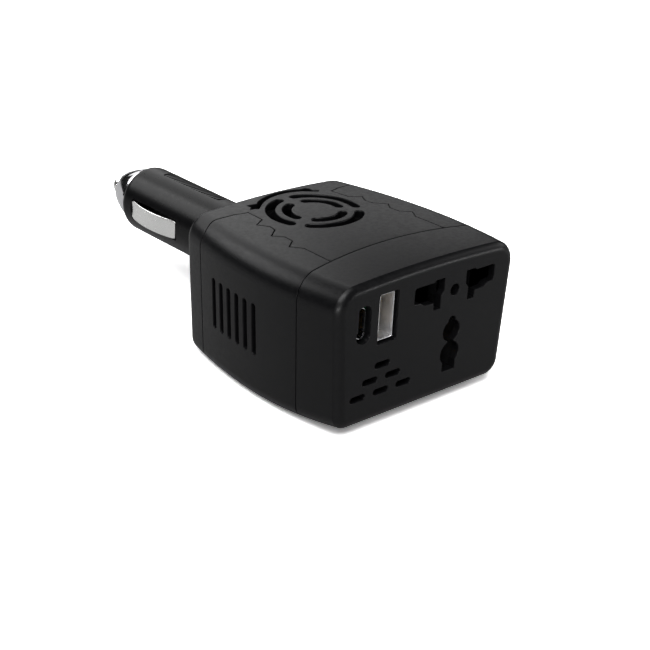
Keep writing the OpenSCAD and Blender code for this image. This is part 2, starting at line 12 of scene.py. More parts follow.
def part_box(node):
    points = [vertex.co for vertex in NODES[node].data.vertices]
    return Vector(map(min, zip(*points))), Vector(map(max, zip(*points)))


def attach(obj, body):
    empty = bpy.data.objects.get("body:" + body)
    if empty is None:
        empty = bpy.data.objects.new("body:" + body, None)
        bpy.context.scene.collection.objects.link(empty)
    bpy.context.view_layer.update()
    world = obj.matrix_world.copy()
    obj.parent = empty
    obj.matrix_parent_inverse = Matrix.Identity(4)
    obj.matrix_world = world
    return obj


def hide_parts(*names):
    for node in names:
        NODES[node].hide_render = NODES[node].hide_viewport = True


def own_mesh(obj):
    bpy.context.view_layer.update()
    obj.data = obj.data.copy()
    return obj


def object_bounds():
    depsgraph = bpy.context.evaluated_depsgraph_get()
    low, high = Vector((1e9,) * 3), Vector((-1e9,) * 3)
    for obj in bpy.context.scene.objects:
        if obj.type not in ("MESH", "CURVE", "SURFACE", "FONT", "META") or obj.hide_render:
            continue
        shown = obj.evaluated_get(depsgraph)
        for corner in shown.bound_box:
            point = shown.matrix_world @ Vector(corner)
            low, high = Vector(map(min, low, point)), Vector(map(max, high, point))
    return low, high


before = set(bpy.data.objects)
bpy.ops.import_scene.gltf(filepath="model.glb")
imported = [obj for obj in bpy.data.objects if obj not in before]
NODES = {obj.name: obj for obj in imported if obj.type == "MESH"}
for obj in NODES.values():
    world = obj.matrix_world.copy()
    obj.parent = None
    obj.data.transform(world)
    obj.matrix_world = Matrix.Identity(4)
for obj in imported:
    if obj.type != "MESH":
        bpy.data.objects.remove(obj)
cad_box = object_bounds()

# -------- frame
MM = 0.001
FRONT = cad_box[0][1] / MM
BARREL_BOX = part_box("plug_barrel")
AXIS = (BARREL_BOX[0][2] + BARREL_BOX[1][2]) / 2 / MM
TIP = cad_box[1][1] / MM - FRONT
BOTTOM = -AXIS


def at(x, y, z):
    """A point of the outlet frame, in millimetres, as a point of the row frame, in metres."""
    return Vector((x * MM, (y + FRONT) * MM, (z + AXIS) * MM))


def cad(node):
    """Lowest and highest corner of a CAD node, in the outlet frame, in millimetres."""
    low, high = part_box(node)
    return [Vector((p[0] / MM, p[1] / MM - FRONT, p[2] / MM - AXIS)) for p in (low, high)]


# -------- driving sizes
BODY_L = cad("rear_housing")[1].y
FACE_W, MID_W, REAR_W = 63.7, 67.7, 56.4
FACE_TOP, REAR_TOP, TOP_BULGE = 20.9, 19.9, 0.7
UNDERSIDE_RISE, FLAT_FROM = 2.7, 38.0
CROWN = 1.6
WALL = 2.0
FACE_ROUND, FACE_CREASE = 2.7, 18
REAR_ROUND = 3.1
TOP_CORNER, BOTTOM_CORNER = 6.7, 4.6
SIDE_DRAFT = 1.2
FRONT_SEAM, SEAM_BOW, REAR_SEAM = 14.2, 3.5, 58.3
SEAM_HALF_W = 34.5
GAP = 0.11          # half of the gap at a seam
EDGE = 0.15         # rounding of a moulded edge at a seam or opening
OUTLET_X, OUTLET_Z = 9.7, 12.4
USB_A_X, USB_C_X, USB_Z = -14.9, -23.5, 9.0
FAN_Y = 46.6
GRILLE_R = 13.9
BARREL_R = 10.4
BARREL_END = 127.0


# -------- body form
def parabola(a, m, b, s):
    return a * (1 - s) * (1 - 2 * s) + 4 * m * s * (1 - s) + b * s * (2 * s - 1)


def half_w(y):
    return parabola(FACE_W, MID_W, REAR_W, y / BODY_L) / 2


def top_z(y):
    return parabola(FACE_TOP, (FACE_TOP + REAR_TOP) / 2 + TOP_BULGE, REAR_TOP, y / BODY_L)


def bottom_z(y):
    return UNDERSIDE_RISE * max(1 - y / FLAT_FROM, 0) ** 2 + BOTTOM


def crown_at(y):
    return CROWN * (0.8 + 0.45 * math.sin(math.pi * min(max(y / BODY_L, 0), 1)))


def lerp(a, b, t):
    return a + (b - a) * t


def smooth(a, b, x):
    """0 before a, 1 after b, and a smooth rise between them."""
    t = min(max((x - a) / (b - a), 0), 1)
    return t * t * (3 - 2 * t)


def arc(cx, cz, r, a0, a1, n):
    """n + 1 points on an arc, angles in degrees."""
    angles = [math.radians(lerp(a0, a1, i / n)) for i in range(n + 1)]
    return [(cx + r * math.cos(a), cz + r * math.sin(a)) for a in angles]


def line(p, q, n):
    """n - 1 points strictly between p and q."""
    return [tuple(lerp(a, b, i / n) for a, b in zip(p, q)) for i in range(1, n)]


CORNER_N, SIDE_N, TOP_N, BASE_N = 12, 8, 14, 6
LEAST_CORNER = 1.2


def section(y, inset):
    """The body's outline in (x, z) at y, inset from the surface, anticlockwise from the bottom centre."""
    w, zt, zb = half_w(y) - inset, top_z(y) - inset, bottom_z(y) + inset
    rt, rb = max(TOP_CORNER - inset, LEAST_CORNER), max(BOTTOM_CORNER - inset, LEAST_CORNER)
    low, high = arc(w - rb, zb + rb, rb, -90, 0, CORNER_N), arc(w - rt, zt - rt, rt, 0, 90, CORNER_N)
    half = [(0, zb)] + line((0, zb), low[0], BASE_N) + low + line(low[-1], high[0], SIDE_N) + high
    half += line(high[-1], (0, zt), TOP_N) + [(0, zt)]
    half += [(-x, z) for x, z in reversed(half[1:-1])]
    out = []
    for x, z in half:
        up = (z - zb) / (zt - zb)
        out.append((x * (1 + SIDE_DRAFT / w * (2 * up - 1)), z - crown_at(y) * up * (x / w) ** 2))
    return out


def surface_z(x, y):
    """Height of the top surface over (x, y), away from the long edges."""
    w = half_w(y)
    return top_z(y) - crown_at(y) * (x / w) ** 2


def surface_x(y, z):
    """Half width of the side wall at (y, z)."""
    up = (z - bottom_z(y)) / (top_z(y) - bottom_z(y))
    return half_w(y) + SIDE_DRAFT * (2 * up - 1)


def bow(x):
    return SEAM_BOW * (1 - (x / SEAM_HALF_W) ** 2)


REAR_RUN = [(0, 57.2), (15.6, 57.2), (20.5, 58.7), (26, 59.4), (31, REAR_SEAM), (50, REAR_SEAM)]


def rear_shift(x, z):
    """How far the rear seam lies behind its place at the side walls."""
    if z < 8:
        return 0.0
    for (x0, y0), (x1, y1) in zip(REAR_RUN, REAR_RUN[1:]):
        if abs(x) <= x1:
            return (lerp(y0, y1, smooth(x0, x1, abs(x))) - REAR_SEAM) * smooth(8, 14, z)
    return 0.0


def ring(v, inset):
    """A ring of 3-D points at station v: stations near the seams follow the seams' bows."""
    front = smooth(3, FRONT_SEAM, v) * (1 - smooth(FRONT_SEAM + 4, REAR_SEAM - 6, v))
    rear = smooth(REAR_SEAM - 12, REAR_SEAM, v) * (1 - smooth(REAR_SEAM + 1, BODY_L - REAR_ROUND, v))
    out = [(x, v + front * bow(x) + rear * rear_shift(x, z), z) for x, z in section(v, inset)]
    # the outline is read again where each point really lies
    cache = {}
    for i, (x, y, z) in enumerate(out):
        if abs(y - v) < 1e-6:
            continue
        key = round(y, 2)
        if key not in cache:
            cache[key] = section(key, inset)
        x, z = cache[key][i]
        out[i] = (x, y, z)
    return out


# -------- meshes
def finish_mesh(name, bm, angle=32):
    """Turns a bmesh in outlet-frame millimetres into a closed, smooth-shaded object in the row frame."""
    bmesh.ops.remove_doubles(bm, verts=bm.verts, dist=1e-5)
    bmesh.ops.recalc_face_normals(bm, faces=bm.faces)
    for v in bm.verts:
        v.co = at(*v.co)
    return shown(name, bm, angle)


def shown(name, bm, angle):
    """Puts a bmesh in the scene as a smooth-shaded object."""
    mesh = bpy.data.meshes.new(name)
    bm.to_mesh(mesh)
    bm.free()
    obj = bpy.data.objects.new(name, mesh)
    bpy.context.scene.collection.objects.link(obj)
    shade(obj, angle)
    return obj


def shade(obj, angle=32):
    """Smooth shading with sharp edges where faces meet at more than angle degrees."""
    bm = bmesh.new()
    bm.from_mesh(obj.data)
    limit = math.radians(angle)
    for f in bm.faces:
        f.smooth = True
    for e in bm.edges:
        e.smooth = len(e.link_faces) == 2 and e.calc_face_angle(0) < limit
    bm.to_mesh(obj.data)
    bm.free()


def add_skin(bm, rings, loop=False):
    """Quads between successive rings of equal length, with a cap on both ends or a loop back to the first."""
    rows = [[bm.verts.new(p) for p in r] for r in rings]
    n = len(rows[0])
    for a, b in zip(rows, rows[1:] + rows[:1] if loop else rows[1:]):
        for i in range(n):
            k = (i + 1) % n
            bm.faces.new((a[i], a[k], b[k], b[i]))
    if not loop:
        bm.faces.new(rows[0][::-1])
        bm.faces.new(rows[-1])


def skin(name, rings, loop=False, angle=32):
    bm = bmesh.new()
    add_skin(bm, rings, loop)
    return finish_mesh(name, bm, angle)


def offset(points, d):
    """A closed outline moved outwards by d (anticlockwise outline), with mitred corners."""
    n = len(points)
    out = []
    for i in range(n):
        p0, p1, p2 = (Vector(points[(i + k - 1) % n]) for k in range(3))
        e1, e2 = (p1 - p0).normalized(), (p2 - p1).normalized()
        n1, n2 = Vector((e1.y, -e1.x)), Vector((e2.y, -e2.x))
        m = n1 + n2
        scale = d / max(0.45, 1 + n1.dot(n2)) if m.length > 1e-6 else 0
        out.append(tuple(p1 + m * scale))
    return out


def area(points):
    return sum(a[0] * b[1] - b[0] * a[1] for a, b in zip(points, points[1:] + points[:1])) / 2


def split(points, step):
    """The same outline with no stretch longer than step."""
    out = []
    for a, b in zip(points, points[1:] + points[:1]):
        length = (Vector(b) - Vector(a)).length
        n = max(1, math.ceil(length / step))
        out += [tuple(a)] + line(a, b, n)
    return out


def prism(name, outline, place, levels, step=1.6):
    """A closed prism through (depth, offset) levels. place(u, v, d) is the point at depth d under a surface."""
    if area(outline) < 0:
        outline = outline[::-1]
    outline = split(outline, step)
    bm = bmesh.new()
    add_skin(bm, [[place(u, v, depth) for u, v in offset(outline, out)] for depth, out in levels])
    bmesh.ops.triangulate(bm, faces=[f for f in bm.faces if len(f.verts) > 4])
    return finish_mesh(name, bm)


def cutter(name, outline, place, deep, edge=EDGE, step=1.6, above=1.5, flare=1):
    """A prism that cuts outline out of a wall and rounds the edge. flare is -1 where its inside is kept."""
    levels = [(-above, edge)] + round_over(0, 1, edge) + [(deep, 0)]
    return prism(name, outline, place, [(depth, flare * out) for depth, out in levels], step)


def cut(obj, cutters, operation="DIFFERENCE"):
    """Applies cutters to obj, one by one, and deletes them."""
    for tool in cutters:
        mod = obj.modifiers.new("cut", "BOOLEAN")
        mod.operation = operation
        mod.solver = "MANIFOLD"
        mod.object = tool
        apply_modifiers(obj)
        bpy.data.meshes.remove(tool.data)
    return obj


def apply_modifiers(obj):
    graph = bpy.context.evaluated_depsgraph_get()
    mesh = bpy.data.meshes.new_from_object(obj.evaluated_get(graph))
    old = obj.data
    obj.modifiers.clear()
    obj.data = mesh
    bpy.data.meshes.remove(old)
    mesh.name = obj.name


def clean(obj, angle=32):
    """Dissolves the slivers that a boolean leaves, and shades the result by the larger faces."""
    bm = bmesh.new()
    bm.from_mesh(obj.data)
    bmesh.ops.remove_doubles(bm, verts=bm.verts, dist=4e-6)
    bmesh.ops.dissolve_degenerate(bm, dist=2e-6, edges=bm.edges)
    bm.to_mesh(obj.data)
    bm.free()
    shade(obj, angle)
    mod = obj.modifiers.new("normals", "WEIGHTED_NORMAL")
    mod.keep_sharp = True
    apply_modifiers(obj)
    return obj


# -------- outlines
def mirrored(points):
    return [(-x, y) for x, y in reversed(points)]


def moved(points, dx, dy):
    return [(x + dx, y + dy) for x, y in points]


def circle(cx, cy, r, n=40):
    return arc(cx, cy, r, 0, 360, n)[:-1]


def rounded(cx, cy, w, h, r, n=6):
    x, y = w / 2 - r, h / 2 - r
    corners = [(x, -y, -90), (x, y, 0), (-x, y, 90), (-x, -y, 180)]
    return moved([p for a, b, t in corners for p in arc(a, b, r, t, t + 90, n)], cx, cy)


def ring_slot(r, w, a0, a1):
    """A curved slot with round ends about (0, FAN_Y)."""
    end = [math.radians(a) for a in (a0, a1)]
    out = arc(0, 0, r + w / 2, a0, a1, 24)
    out += arc(r * math.cos(end[1]), r * math.sin(end[1]), w / 2, a1, a1 + 180, 8)[1:-1]
    out += arc(0, 0, r - w / 2, a1, a0, 24)
    out += arc(r * math.cos(end[0]), r * math.sin(end[0]), w / 2, a0 + 180, a0 + 360, 8)[1:-1]
    return moved(out, 0, FAN_Y)


def polar(pairs):
    return moved([(r * math.cos(math.radians(a)), r * math.sin(math.radians(a))) for r, a in pairs], 0, FAN_Y)


# one blade opening, right of the outlet's centre
BLADE = [(14.6, 2.15), (15.0, 1.95), (15.2, 1.6), (15.25, -1.9), (15.1, -2.3), (14.8, -2.45), (12.8, -2.65),
         (11.2, -3.6), (7.9, -3.8), (7.7, -5.95), (5.2, -5.95), (5.27, -2.25), (4.2, -0.95), (4.2, 2.7),
         (7.45, 2.7), (8, 2.15)]


def earth_opening():
    """A notch, two round lobes that meet in a waist, and a square foot."""
    half = arc(0, -10.9, 1.35, 90, 0, 6) + arc(0, -13.9, 3.15, 64.6, -69.6, 16)
    half += arc(0, -20.6, 3.5, 71.7, -46.7, 14) + [(2.4, -25.8)]
    return list(reversed(half[1:])) + [half[0]] + [(-x, y) for x, y in half[1:]]


def outlet_outlines():
    shapes = [BLADE, mirrored(BLADE), circle(0, -1.75, 1.65, 28), earth_opening()]
    return [moved(s, OUTLET_X, OUTLET_Z) for s in shapes]


def vent_outlines():
    return [rounded(-15.9 + 4.15 * (2 * i - row), -4.2 - 3.9 * row, 5.4, 1.75, 0.86)
            for row in range(3) for i in range(row + 1)]


TONGUE_EDGE = [(15.6, 64), (15.6, 57.2), (16.2, 50.3), (19.8, 48.3), (17.9, 44.9), (18.4, 42.2), (21.8, 39.6),
               (19.6, 36.4), (19.9, 33.1), (23, 30.8), (20.8, 27.3), (21.3, 8)]
TONGUE = mirrored(TONGUE_EDGE) + TONGUE_EDGE
TONGUE = TONGUE if area(TONGUE) > 0 else TONGUE[::-1]

SWEPT = polar([(18.9 - 1.5 * i / 16, 62 + 3.5 * i) for i in range(17)]
              + [(17, 123), (19.4, 129.5), (18, 133), (18.2, 139), (17, 137.5), (15.8, 137)]
              + [(15.6 + 1.5 * i / 16, 126 - 4 * i) for i in range(17)]
              + [(16.9, 51), (17.2, 45), (18.4, 45), (18.2, 51), (19.7, 53.5), (19.8, 57)])
GRILLE = [ring_slot(GRILLE_R - 1.3, 2.6, 120 * k + 102.5, 120 * k + 197.5) for k in range(3)]
GRILLE += [ring_slot(GRILLE_R - 5.95, 2.5, 120 * k + 110.5, 120 * k + 189.5) for k in range(3)]

LOUVRE_W, LOUVRE_H, LOUVRE_Y, LOUVRE_Z, LOUVRE_PITCH, LOUVRE_N = 1.65, 15.3, 50.8, -1.2, 3.88, 6
LOUVRES = [rounded(LOUVRE_Y - i * LOUVRE_PITCH, LOUVRE_Z, LOUVRE_W, LOUVRE_H, LOUVRE_W / 2 - 0.01)
           for i in range(LOUVRE_N)]


# -------- where cuts start
def on_face(u, v, d):
    return (u, d, v)


def on_top(u, v, d):
    return (u, v, surface_z(u, v) - d)


def on_side(s):
    return lambda u, v, d: (s * (surface_x(u, v) - d), u, v)


def on_back(u, v, d):
    return (u, BODY_L - d, v)


# -------- shells
def steps(a, b, pitch):
    n = max(1, round(abs(b - a) / pitch))
    return [lerp(a, b, i / n) for i in range(n + 1)]


def round_over(v, sign, edge=EDGE):
    """Stations of a rounded rim at v, from its flat to the outer surface, which lies on the sign side."""
    angles = [math.radians(90 * i / 3) for i in range(4)]
    return [(v + sign * edge * (1 - math.cos(a)), edge * (1 - math.sin(a))) for a in angles]


SCREWS = [(sx * 20, z) for sx in (-1, 1) for z in (-15.6, 12.6)]
STANDOFFS = [(-19, 22), (19, 22), (-19, 47), (19, 47)]


def front_housing():
    rim = FRONT_SEAM - GAP
    stations = [(2.2, 3.4), (2.5, 2.6), (3.2, 2.0), (FRONT_SEAM - 4.2, 2.0), (FRONT_SEAM - 4, 3.0)]
    stations += [(v, 3.0) for v in steps(FRONT_SEAM - 3, FRONT_SEAM + 2.4, 1.5)]
    stations += [(FRONT_SEAM + 2.4, 2.25), (FRONT_SEAM + 2.2, 2.1), (rim, 2.1)]
    stations += round_over(rim, -1)
    crease = math.radians(FACE_CREASE)
    start = FACE_ROUND * (1 - math.sin(crease))
    stations += [(v, 0) for v in steps(rim - 1.2, start + 0.8, 1.1)]
    stations += [(start + 0.25, 0), (start + 0.06, 0)]
    for i in range(13):
        a = lerp(crease, math.pi / 2, i / 12)
        stations.append((FACE_ROUND * (1 - math.sin(a)), FACE_ROUND * (math.cos(crease) - math.cos(a))))
    stations.append((0, FACE_ROUND * math.cos(crease) + 0.4))
    obj = skin("front_housing_shell", [ring(v, e) for v, e in stations], angle=40)
    tools = [cutter("hole", o, on_face, 4, edge=0.25) for o in outlet_outlines() + vent_outlines()]
    tools.append(cutter("hole", rounded(USB_A_X, USB_Z, 6.9, 14.2, 0.5), on_face, 4))
    tools.append(cutter("hole", rounded(USB_C_X, USB_Z, 4.8, 10.6, 2.2, 10), on_face, 4))
    # sharp enough for the crease where the rounding leaves the sides
    return clean(cut(obj, tools), 19)


def main_shell():
    start, end = FRONT_SEAM + GAP, REAR_SEAM - GAP
    stations = [(start, WALL)] + round_over(start, 1)
    stations += [(v, 0) for v in steps(start + 1.2, end - 1.2, 1.3)]
    stations += list(reversed(round_over(end, -1))) + [(end, WALL)]
    stations += [(v, WALL) for v in steps(end - 2, start + 2, 3)]
    obj = skin("main_shell_sleeve", [ring(v, e) for v, e in stations], loop=True, angle=40)
    tools = [cutter("tongue", offset(TONGUE, GAP), on_top, WALL + 1.5, step=1.2, edge=0.1)]
    for s in (-1, 1):
        tools += [cutter("louvre", o, on_side(s), WALL + 1, edge=0.18) for o in LOUVRES]
    clean(cut(obj, tools), 40)
    extra = []
    for x, z in SCREWS:
        s = math.copysign(1, x)
        corners = ((51.6, z - 1.5), (55.4, z - 1.5), (55.4, z + 1.5), (51.6, z + 1.5))
        extra.append(skin("web", [[(xx, y, zz) for y, zz in corners] for xx in (x + s, x + s * 10)]))
        post = [(1.1, 51.5), (3.2, 51.5), (3.2, REAR_SEAM - 0.2), (1.1, REAR_SEAM - 0.2)]
        extra.append(turned("post", post, loop=True, n=32, centre=(x, z)))
    for x, y in STANDOFFS:
        rings = [[(x + 2.6 * c, y + 2.6 * s, z) for c, s in circle(0, 0, 1, 24)]
                 for z in (bottom_z(y) + WALL - 1, -14.6)]
        extra.append(skin("standoff", rings))
    return clean(cut(obj, extra, "UNION"), 40)


def rear_housing():
    start = FRONT_SEAM + GAP
    stations = [(BODY_L - WALL, 3.2), (BODY_L - WALL - 0.5, 2.2), (BODY_L - WALL - 1.2, WALL)]
    stations += [(v, WALL) for v in steps(BODY_L - 5, start, 3)]
    stations += round_over(start, 1)
    stations += [(v, 0) for v in steps(start + 1.2, REAR_SEAM - 1.2, 1.3)]
    stations += [(v, 0) for v in steps(REAR_SEAM - 0.2, BODY_L - REAR_ROUND, 1)]
    for i in range(1, 9):
        a = math.radians(90 * i / 8)
        stations.append((BODY_L - REAR_ROUND * (1 - math.sin(a)), REAR_ROUND * (1 - math.cos(a))))
    obj = skin("rear_housing_shell", [ring(v, e) for v, e in stations], angle=40)
    # everything in front of the rear seam goes, except for the tongue
    seam = REAR_SEAM + GAP
    profile = [(6, -3), (seam + EDGE, -3)] + list(reversed(round_over(seam, 1))) + [(seam, 5), (6, 5)]
    away = skin("away", [ring(v, e) for v, e in profile], loop=True)
    keep = cutter("keep", offset(TONGUE, -GAP), on_top, 9, step=1.2, edge=0.1, flare=-1, above=6)
    cut(away, [keep])
    cut(obj, [away])
    tools = [cutter("slot", o, on_top, WALL + 1.5, edge=0.3, step=1) for o in GRILLE]
    tools.append(cutter("slot", SWEPT, on_top, WALL + 1.5, edge=0.2, step=1))
    tools.append(cutter("hole", circle(0, 0, BARREL_R + 0.06, 96), on_back, WALL + 1, edge=0.3))
    tools += [cutter("hole", circle(x, z, 2.9), on_back, WALL + 1) for x, z in SCREWS]
    clean(cut(obj, tools), 40)
    boss = [(1.5, REAR_SEAM + 0.2), (3.2, REAR_SEAM + 0.2), (3.2, BODY_L - 1), (2.9, BODY_L - 1),
            (2.9, BODY_L - 3.2), (1.5, BODY_L - 3.2)]
    extra = [turned("boss", boss, loop=True, n=40, centre=spot) for spot in SCREWS]
    collar = [(8, 62), (13, 62), (13, BODY_L - 1), (BARREL_R + 0.06, BODY_L - 1), (BARREL_R + 0.06, 64),
              (8, 64)]
    extra.append(turned("collar", collar, loop=True))
    return clean(cut(obj, extra, "UNION"), 40)


# -------- turned parts
CLOSED_R = 0.001    # the radius that stands for 0 where a turned end closes


def turned(name, profile, loop=False, n=96, angle=32, centre=(0, 0)):
    """Turns (radius, y) points about an axis along y through centre. Radius 0 closes an end."""
    rings = [[(x, y, z) for x, z in circle(*centre, max(r, CLOSED_R), n)] for r, y in profile]
    return skin(name, rings, loop, angle)


def fillet(profile, r, n=4):
    """Rounds every corner of an open (radius, y) profile by r where its sides are long enough."""
    out = [profile[0]]
    for corner in zip(profile, profile[1:], profile[2:]):
        p0, p1, p2 = (Vector(p) for p in corner)
        d1, d2 = p0 - p1, p2 - p1
        cut_back = min(r, d1.length * 0.45, d2.length * 0.45)
        a, b = p1 + d1.normalized() * cut_back, p1 + d2.normalized() * cut_back
        for k in range(n + 1):
            t = k / n
            q = a.lerp(p1, t).lerp(p1.lerp(b, t), t)
            out.append((q.x, q.y))
    return out + [profile[-1]]


RIB_Y0, RIB_PITCH, RIB_N = 90.3, 1.25, 21
RIB_X = (-0.6, 5.6)
LEAF_MID, LEAF_L, LEAF_W, LEAF_T, LEAF_BOW, LEAF_OUT = 109.3, 22.4, 5.9, 0.5, 1.7, 11.9
LEAF_R = ((LEAF_L / 2) ** 2 + LEAF_BOW ** 2) / (2 * LEAF_BOW)
NECK_R, NECK_END = 6.3, BARREL_END + 4.5
FUSE_BORE_R, FIT_GAP, CONTACT_TRAVEL = 3.55, 0.1, 3
FLANGE_R, SHAFT_R = 4.7, 3.8
SPRING_Y = (88.5, 96.9)


def on_barrel(u, v, d):
    """u is the distance round the barrel from its top, v the distance along it."""
    a = u / BARREL_R
    return ((BARREL_R - d) * math.sin(a), v, (BARREL_R - d) * math.cos(a))


def on_barrel_side(s):
    return lambda u, v, d: (s * (math.sqrt(BARREL_R ** 2 - v ** 2) - d), u, v)


def plug_barrel():
    profile = [(0, 64.1), (BARREL_R, 64.1)]
    profile += [(BARREL_R, y) for y in steps(68, BARREL_END - 3.2, 4)]
    for i in range(11):
        a = math.radians(9 * i)
        profile.append((BARREL_R - 3 * (1 - math.cos(a)), BARREL_END - 3 + 3 * math.sin(a)))
    profile += [(NECK_R, BARREL_END), (NECK_R, BARREL_END + 0.6)]
    for i in range(3):
        y = BARREL_END + 0.9 + i
        profile += [(NECK_R - 0.35, y), (NECK_R, y + 0.45), (NECK_R, y + 0.6)]
    profile += [(NECK_R - 0.3, NECK_END), (0, NECK_END)]
    obj = turned("plug_barrel_body", profile, n=128, angle=40)
    top = sorted(BARREL_R * math.asin(x / BARREL_R) for x in RIB_X)
    y0, y1 = RIB_Y0 - 0.6, RIB_Y0 + RIB_PITCH * RIB_N + 0.6
    recess = rounded(sum(top) / 2, (y0 + y1) / 2, top[1] - top[0], y1 - y0, 0.6)
    tools = [cutter("recess", recess, on_barrel, 0.7, edge=0.12, step=0.8)]
    pocket = rounded(LEAF_MID, 0, LEAF_L + 0.6, LEAF_W + 0.7, 0.4)
    tools += [cutter("pocket", pocket, on_barrel_side(s), 3, edge=0.15) for s in (-1, 1)]
    # room for the leads, the fuse tube and the contact's flange over its whole travel
    flange_y, flange_bore = NECK_END - 1.65 - CONTACT_TRAVEL, FLANGE_R + FIT_GAP
    bore = [(0, 63), (7.2, 63), (7.2, 84), (FUSE_BORE_R, 84), (FUSE_BORE_R, flange_y),
            (flange_bore, flange_y), (flange_bore, NECK_END + 1), (0, NECK_END + 1)]
    tools.append(turned("bore", bore, angle=40))
    tools += [solid_box("lead_way", (8 * s - 1, 63, -1.2), (8 * s + 1, LEAF_MID, 1.2), 0) for s in (-1, 1)]
    clean(cut(obj, tools), 40)
    ribs = []
    for i in range(RIB_N):
        y = RIB_Y0 + RIB_PITCH * (i + 0.55)
        bar = rounded(sum(top) / 2, y, top[1] - top[0] + 0.3, 0.8, 0.1, 2)
        ribs.append(prism("rib", bar, on_barrel, [(0.06, -0.07), (0.12, 0), (1.1, 0)], step=0.8))
    return clean(cut(obj, ribs, "UNION"), 40)


def nose_nut():
    outer = [(8.5, BARREL_END + 0.4), (8.72, BARREL_END + 0.75)]
    for i in range(15):
        s = i / 14
        outer.append((8.7 - 2.7 * s ** 1.35, BARREL_END + 0.9 + 7.5 * s))
    outer += [(5.85, 135.52), (5.7, 135.6)]
    inner = [(5.08, 135.6), (5.05, 135.4), (5.05, NECK_END + 0.9), (NECK_R + 0.05, NECK_END + 0.9),
             (NECK_R + 0.05, BARREL_END + 0.4)]
    return turned("nose_nut_shell", outer + inner, loop=True, n=128, angle=38)


def nose_washer():
    y = NECK_END + 0.1
    profile = [(SHAFT_R + 0.08, y), (6.2, y), (6.2, y + 0.7), (4.95, y + 0.7), (4.95, 135.6), (4.7, 135.8),
               (SHAFT_R + 0.2, 135.8), (SHAFT_R + 0.08, 135.6)]
    return turned("nose_washer_ring", profile, loop=True)


def centre_contact():
    y = cad("fuse")[1].y + 0.05
    profile = [(0, y), (3.1, y), (3.1, NECK_END - 1.6), (FLANGE_R, NECK_END - 1.6),
               (FLANGE_R, NECK_END - 0.1), (SHAFT_R, NECK_END - 0.1), (SHAFT_R, TIP - 5.6)]
    for i in range(3):
        y = TIP - 5.5 + 1.05 * i
        r = SHAFT_R - 0.12 * i * i
        profile += [(r - 0.38, y + 0.12), (r - 0.38, y + 0.3), (r - 0.05, y + 0.5), (r, y + 0.75),
                    (r - 0.08, y + 0.98)]
    for i in range(9):
        a = math.radians(90 * i / 8)
        profile.append((2.95 * math.cos(a), TIP - 2.2 + 2.2 * math.sin(a)))
    return turned("centre_contact_pin", profile, angle=50)


def side_contact(s):
    """A spring strip, crowned across its width, whose ends turn in under the barrel's surface."""
    rings = []
    half = math.asin(LEAF_L / 2 / LEAF_R)
    n = 40
    cx = LEAF_OUT - LEAF_R
    for i in range(n + 1):
        a = lerp(-half, half, i / n)
        taper = 1 - 0.12 * smooth(0.9, 1, abs(2 * i / n - 1))
        row = []
        for u, v in rounded(0, 0, LEAF_W * taper, LEAF_T, 0.2, 3):
            r = LEAF_R - LEAF_T / 2 + v - 0.1 * (2 * u / LEAF_W) ** 2
            row.append((s * (cx + r * math.cos(a)), LEAF_MID + r * math.sin(a), u))
        rings.append(row)
    return skin(f"side_contact_{'left' if s < 0 else 'right'}_leaf", rings, angle=60)


def tube(name, points, r, n):
    """A round wire along points."""
    rings = []
    normal = None
    last = len(points) - 1
    for i, point in enumerate(points):
        t = (Vector(points[min(i + 1, last)]) - Vector(points[max(i - 1, 0)])).normalized()
        if normal is None:
            normal = t.orthogonal().normalized()
        normal = (normal - t * normal.dot(t)).normalized()
        side = t.cross(normal)
        rings.append([tuple(Vector(point) + r * (normal * a + side * b)) for a, b in circle(0, 0, 1, n)])
    return skin(name, rings, angle=60)


def contact_spring():
    """Six turns and two closed ends, between the seat and the fuse's cap."""
    turns, wire, r, n = 6, 0.32, 2.45, 220
    low, high = SPRING_Y[0] + wire + 0.02, SPRING_Y[1] - wire - 0.02
    points = []
    for i in range(n + 1):
        s = i / n
        y = lerp(low, high, min(max(s * 1.16 - 0.08, 0), 1))
        a = 2 * math.pi * (turns + 1) * s
        points.append((r * math.cos(a), y, r * math.sin(a)))
    return tube("contact_spring_coil", points, wire, 10)


# -------- materials
def node(tree, kind, **values):
    """A shader node, with values on its inputs of the same names."""
    made = tree.nodes.new("ShaderNode" + kind)
    for key, value in values.items():
        made.inputs[key.replace("_", " ")].default_value = value
    return made


def link(tree, source, output, target, slot):
    tree.links.new(source.outputs[output], target.inputs[slot])


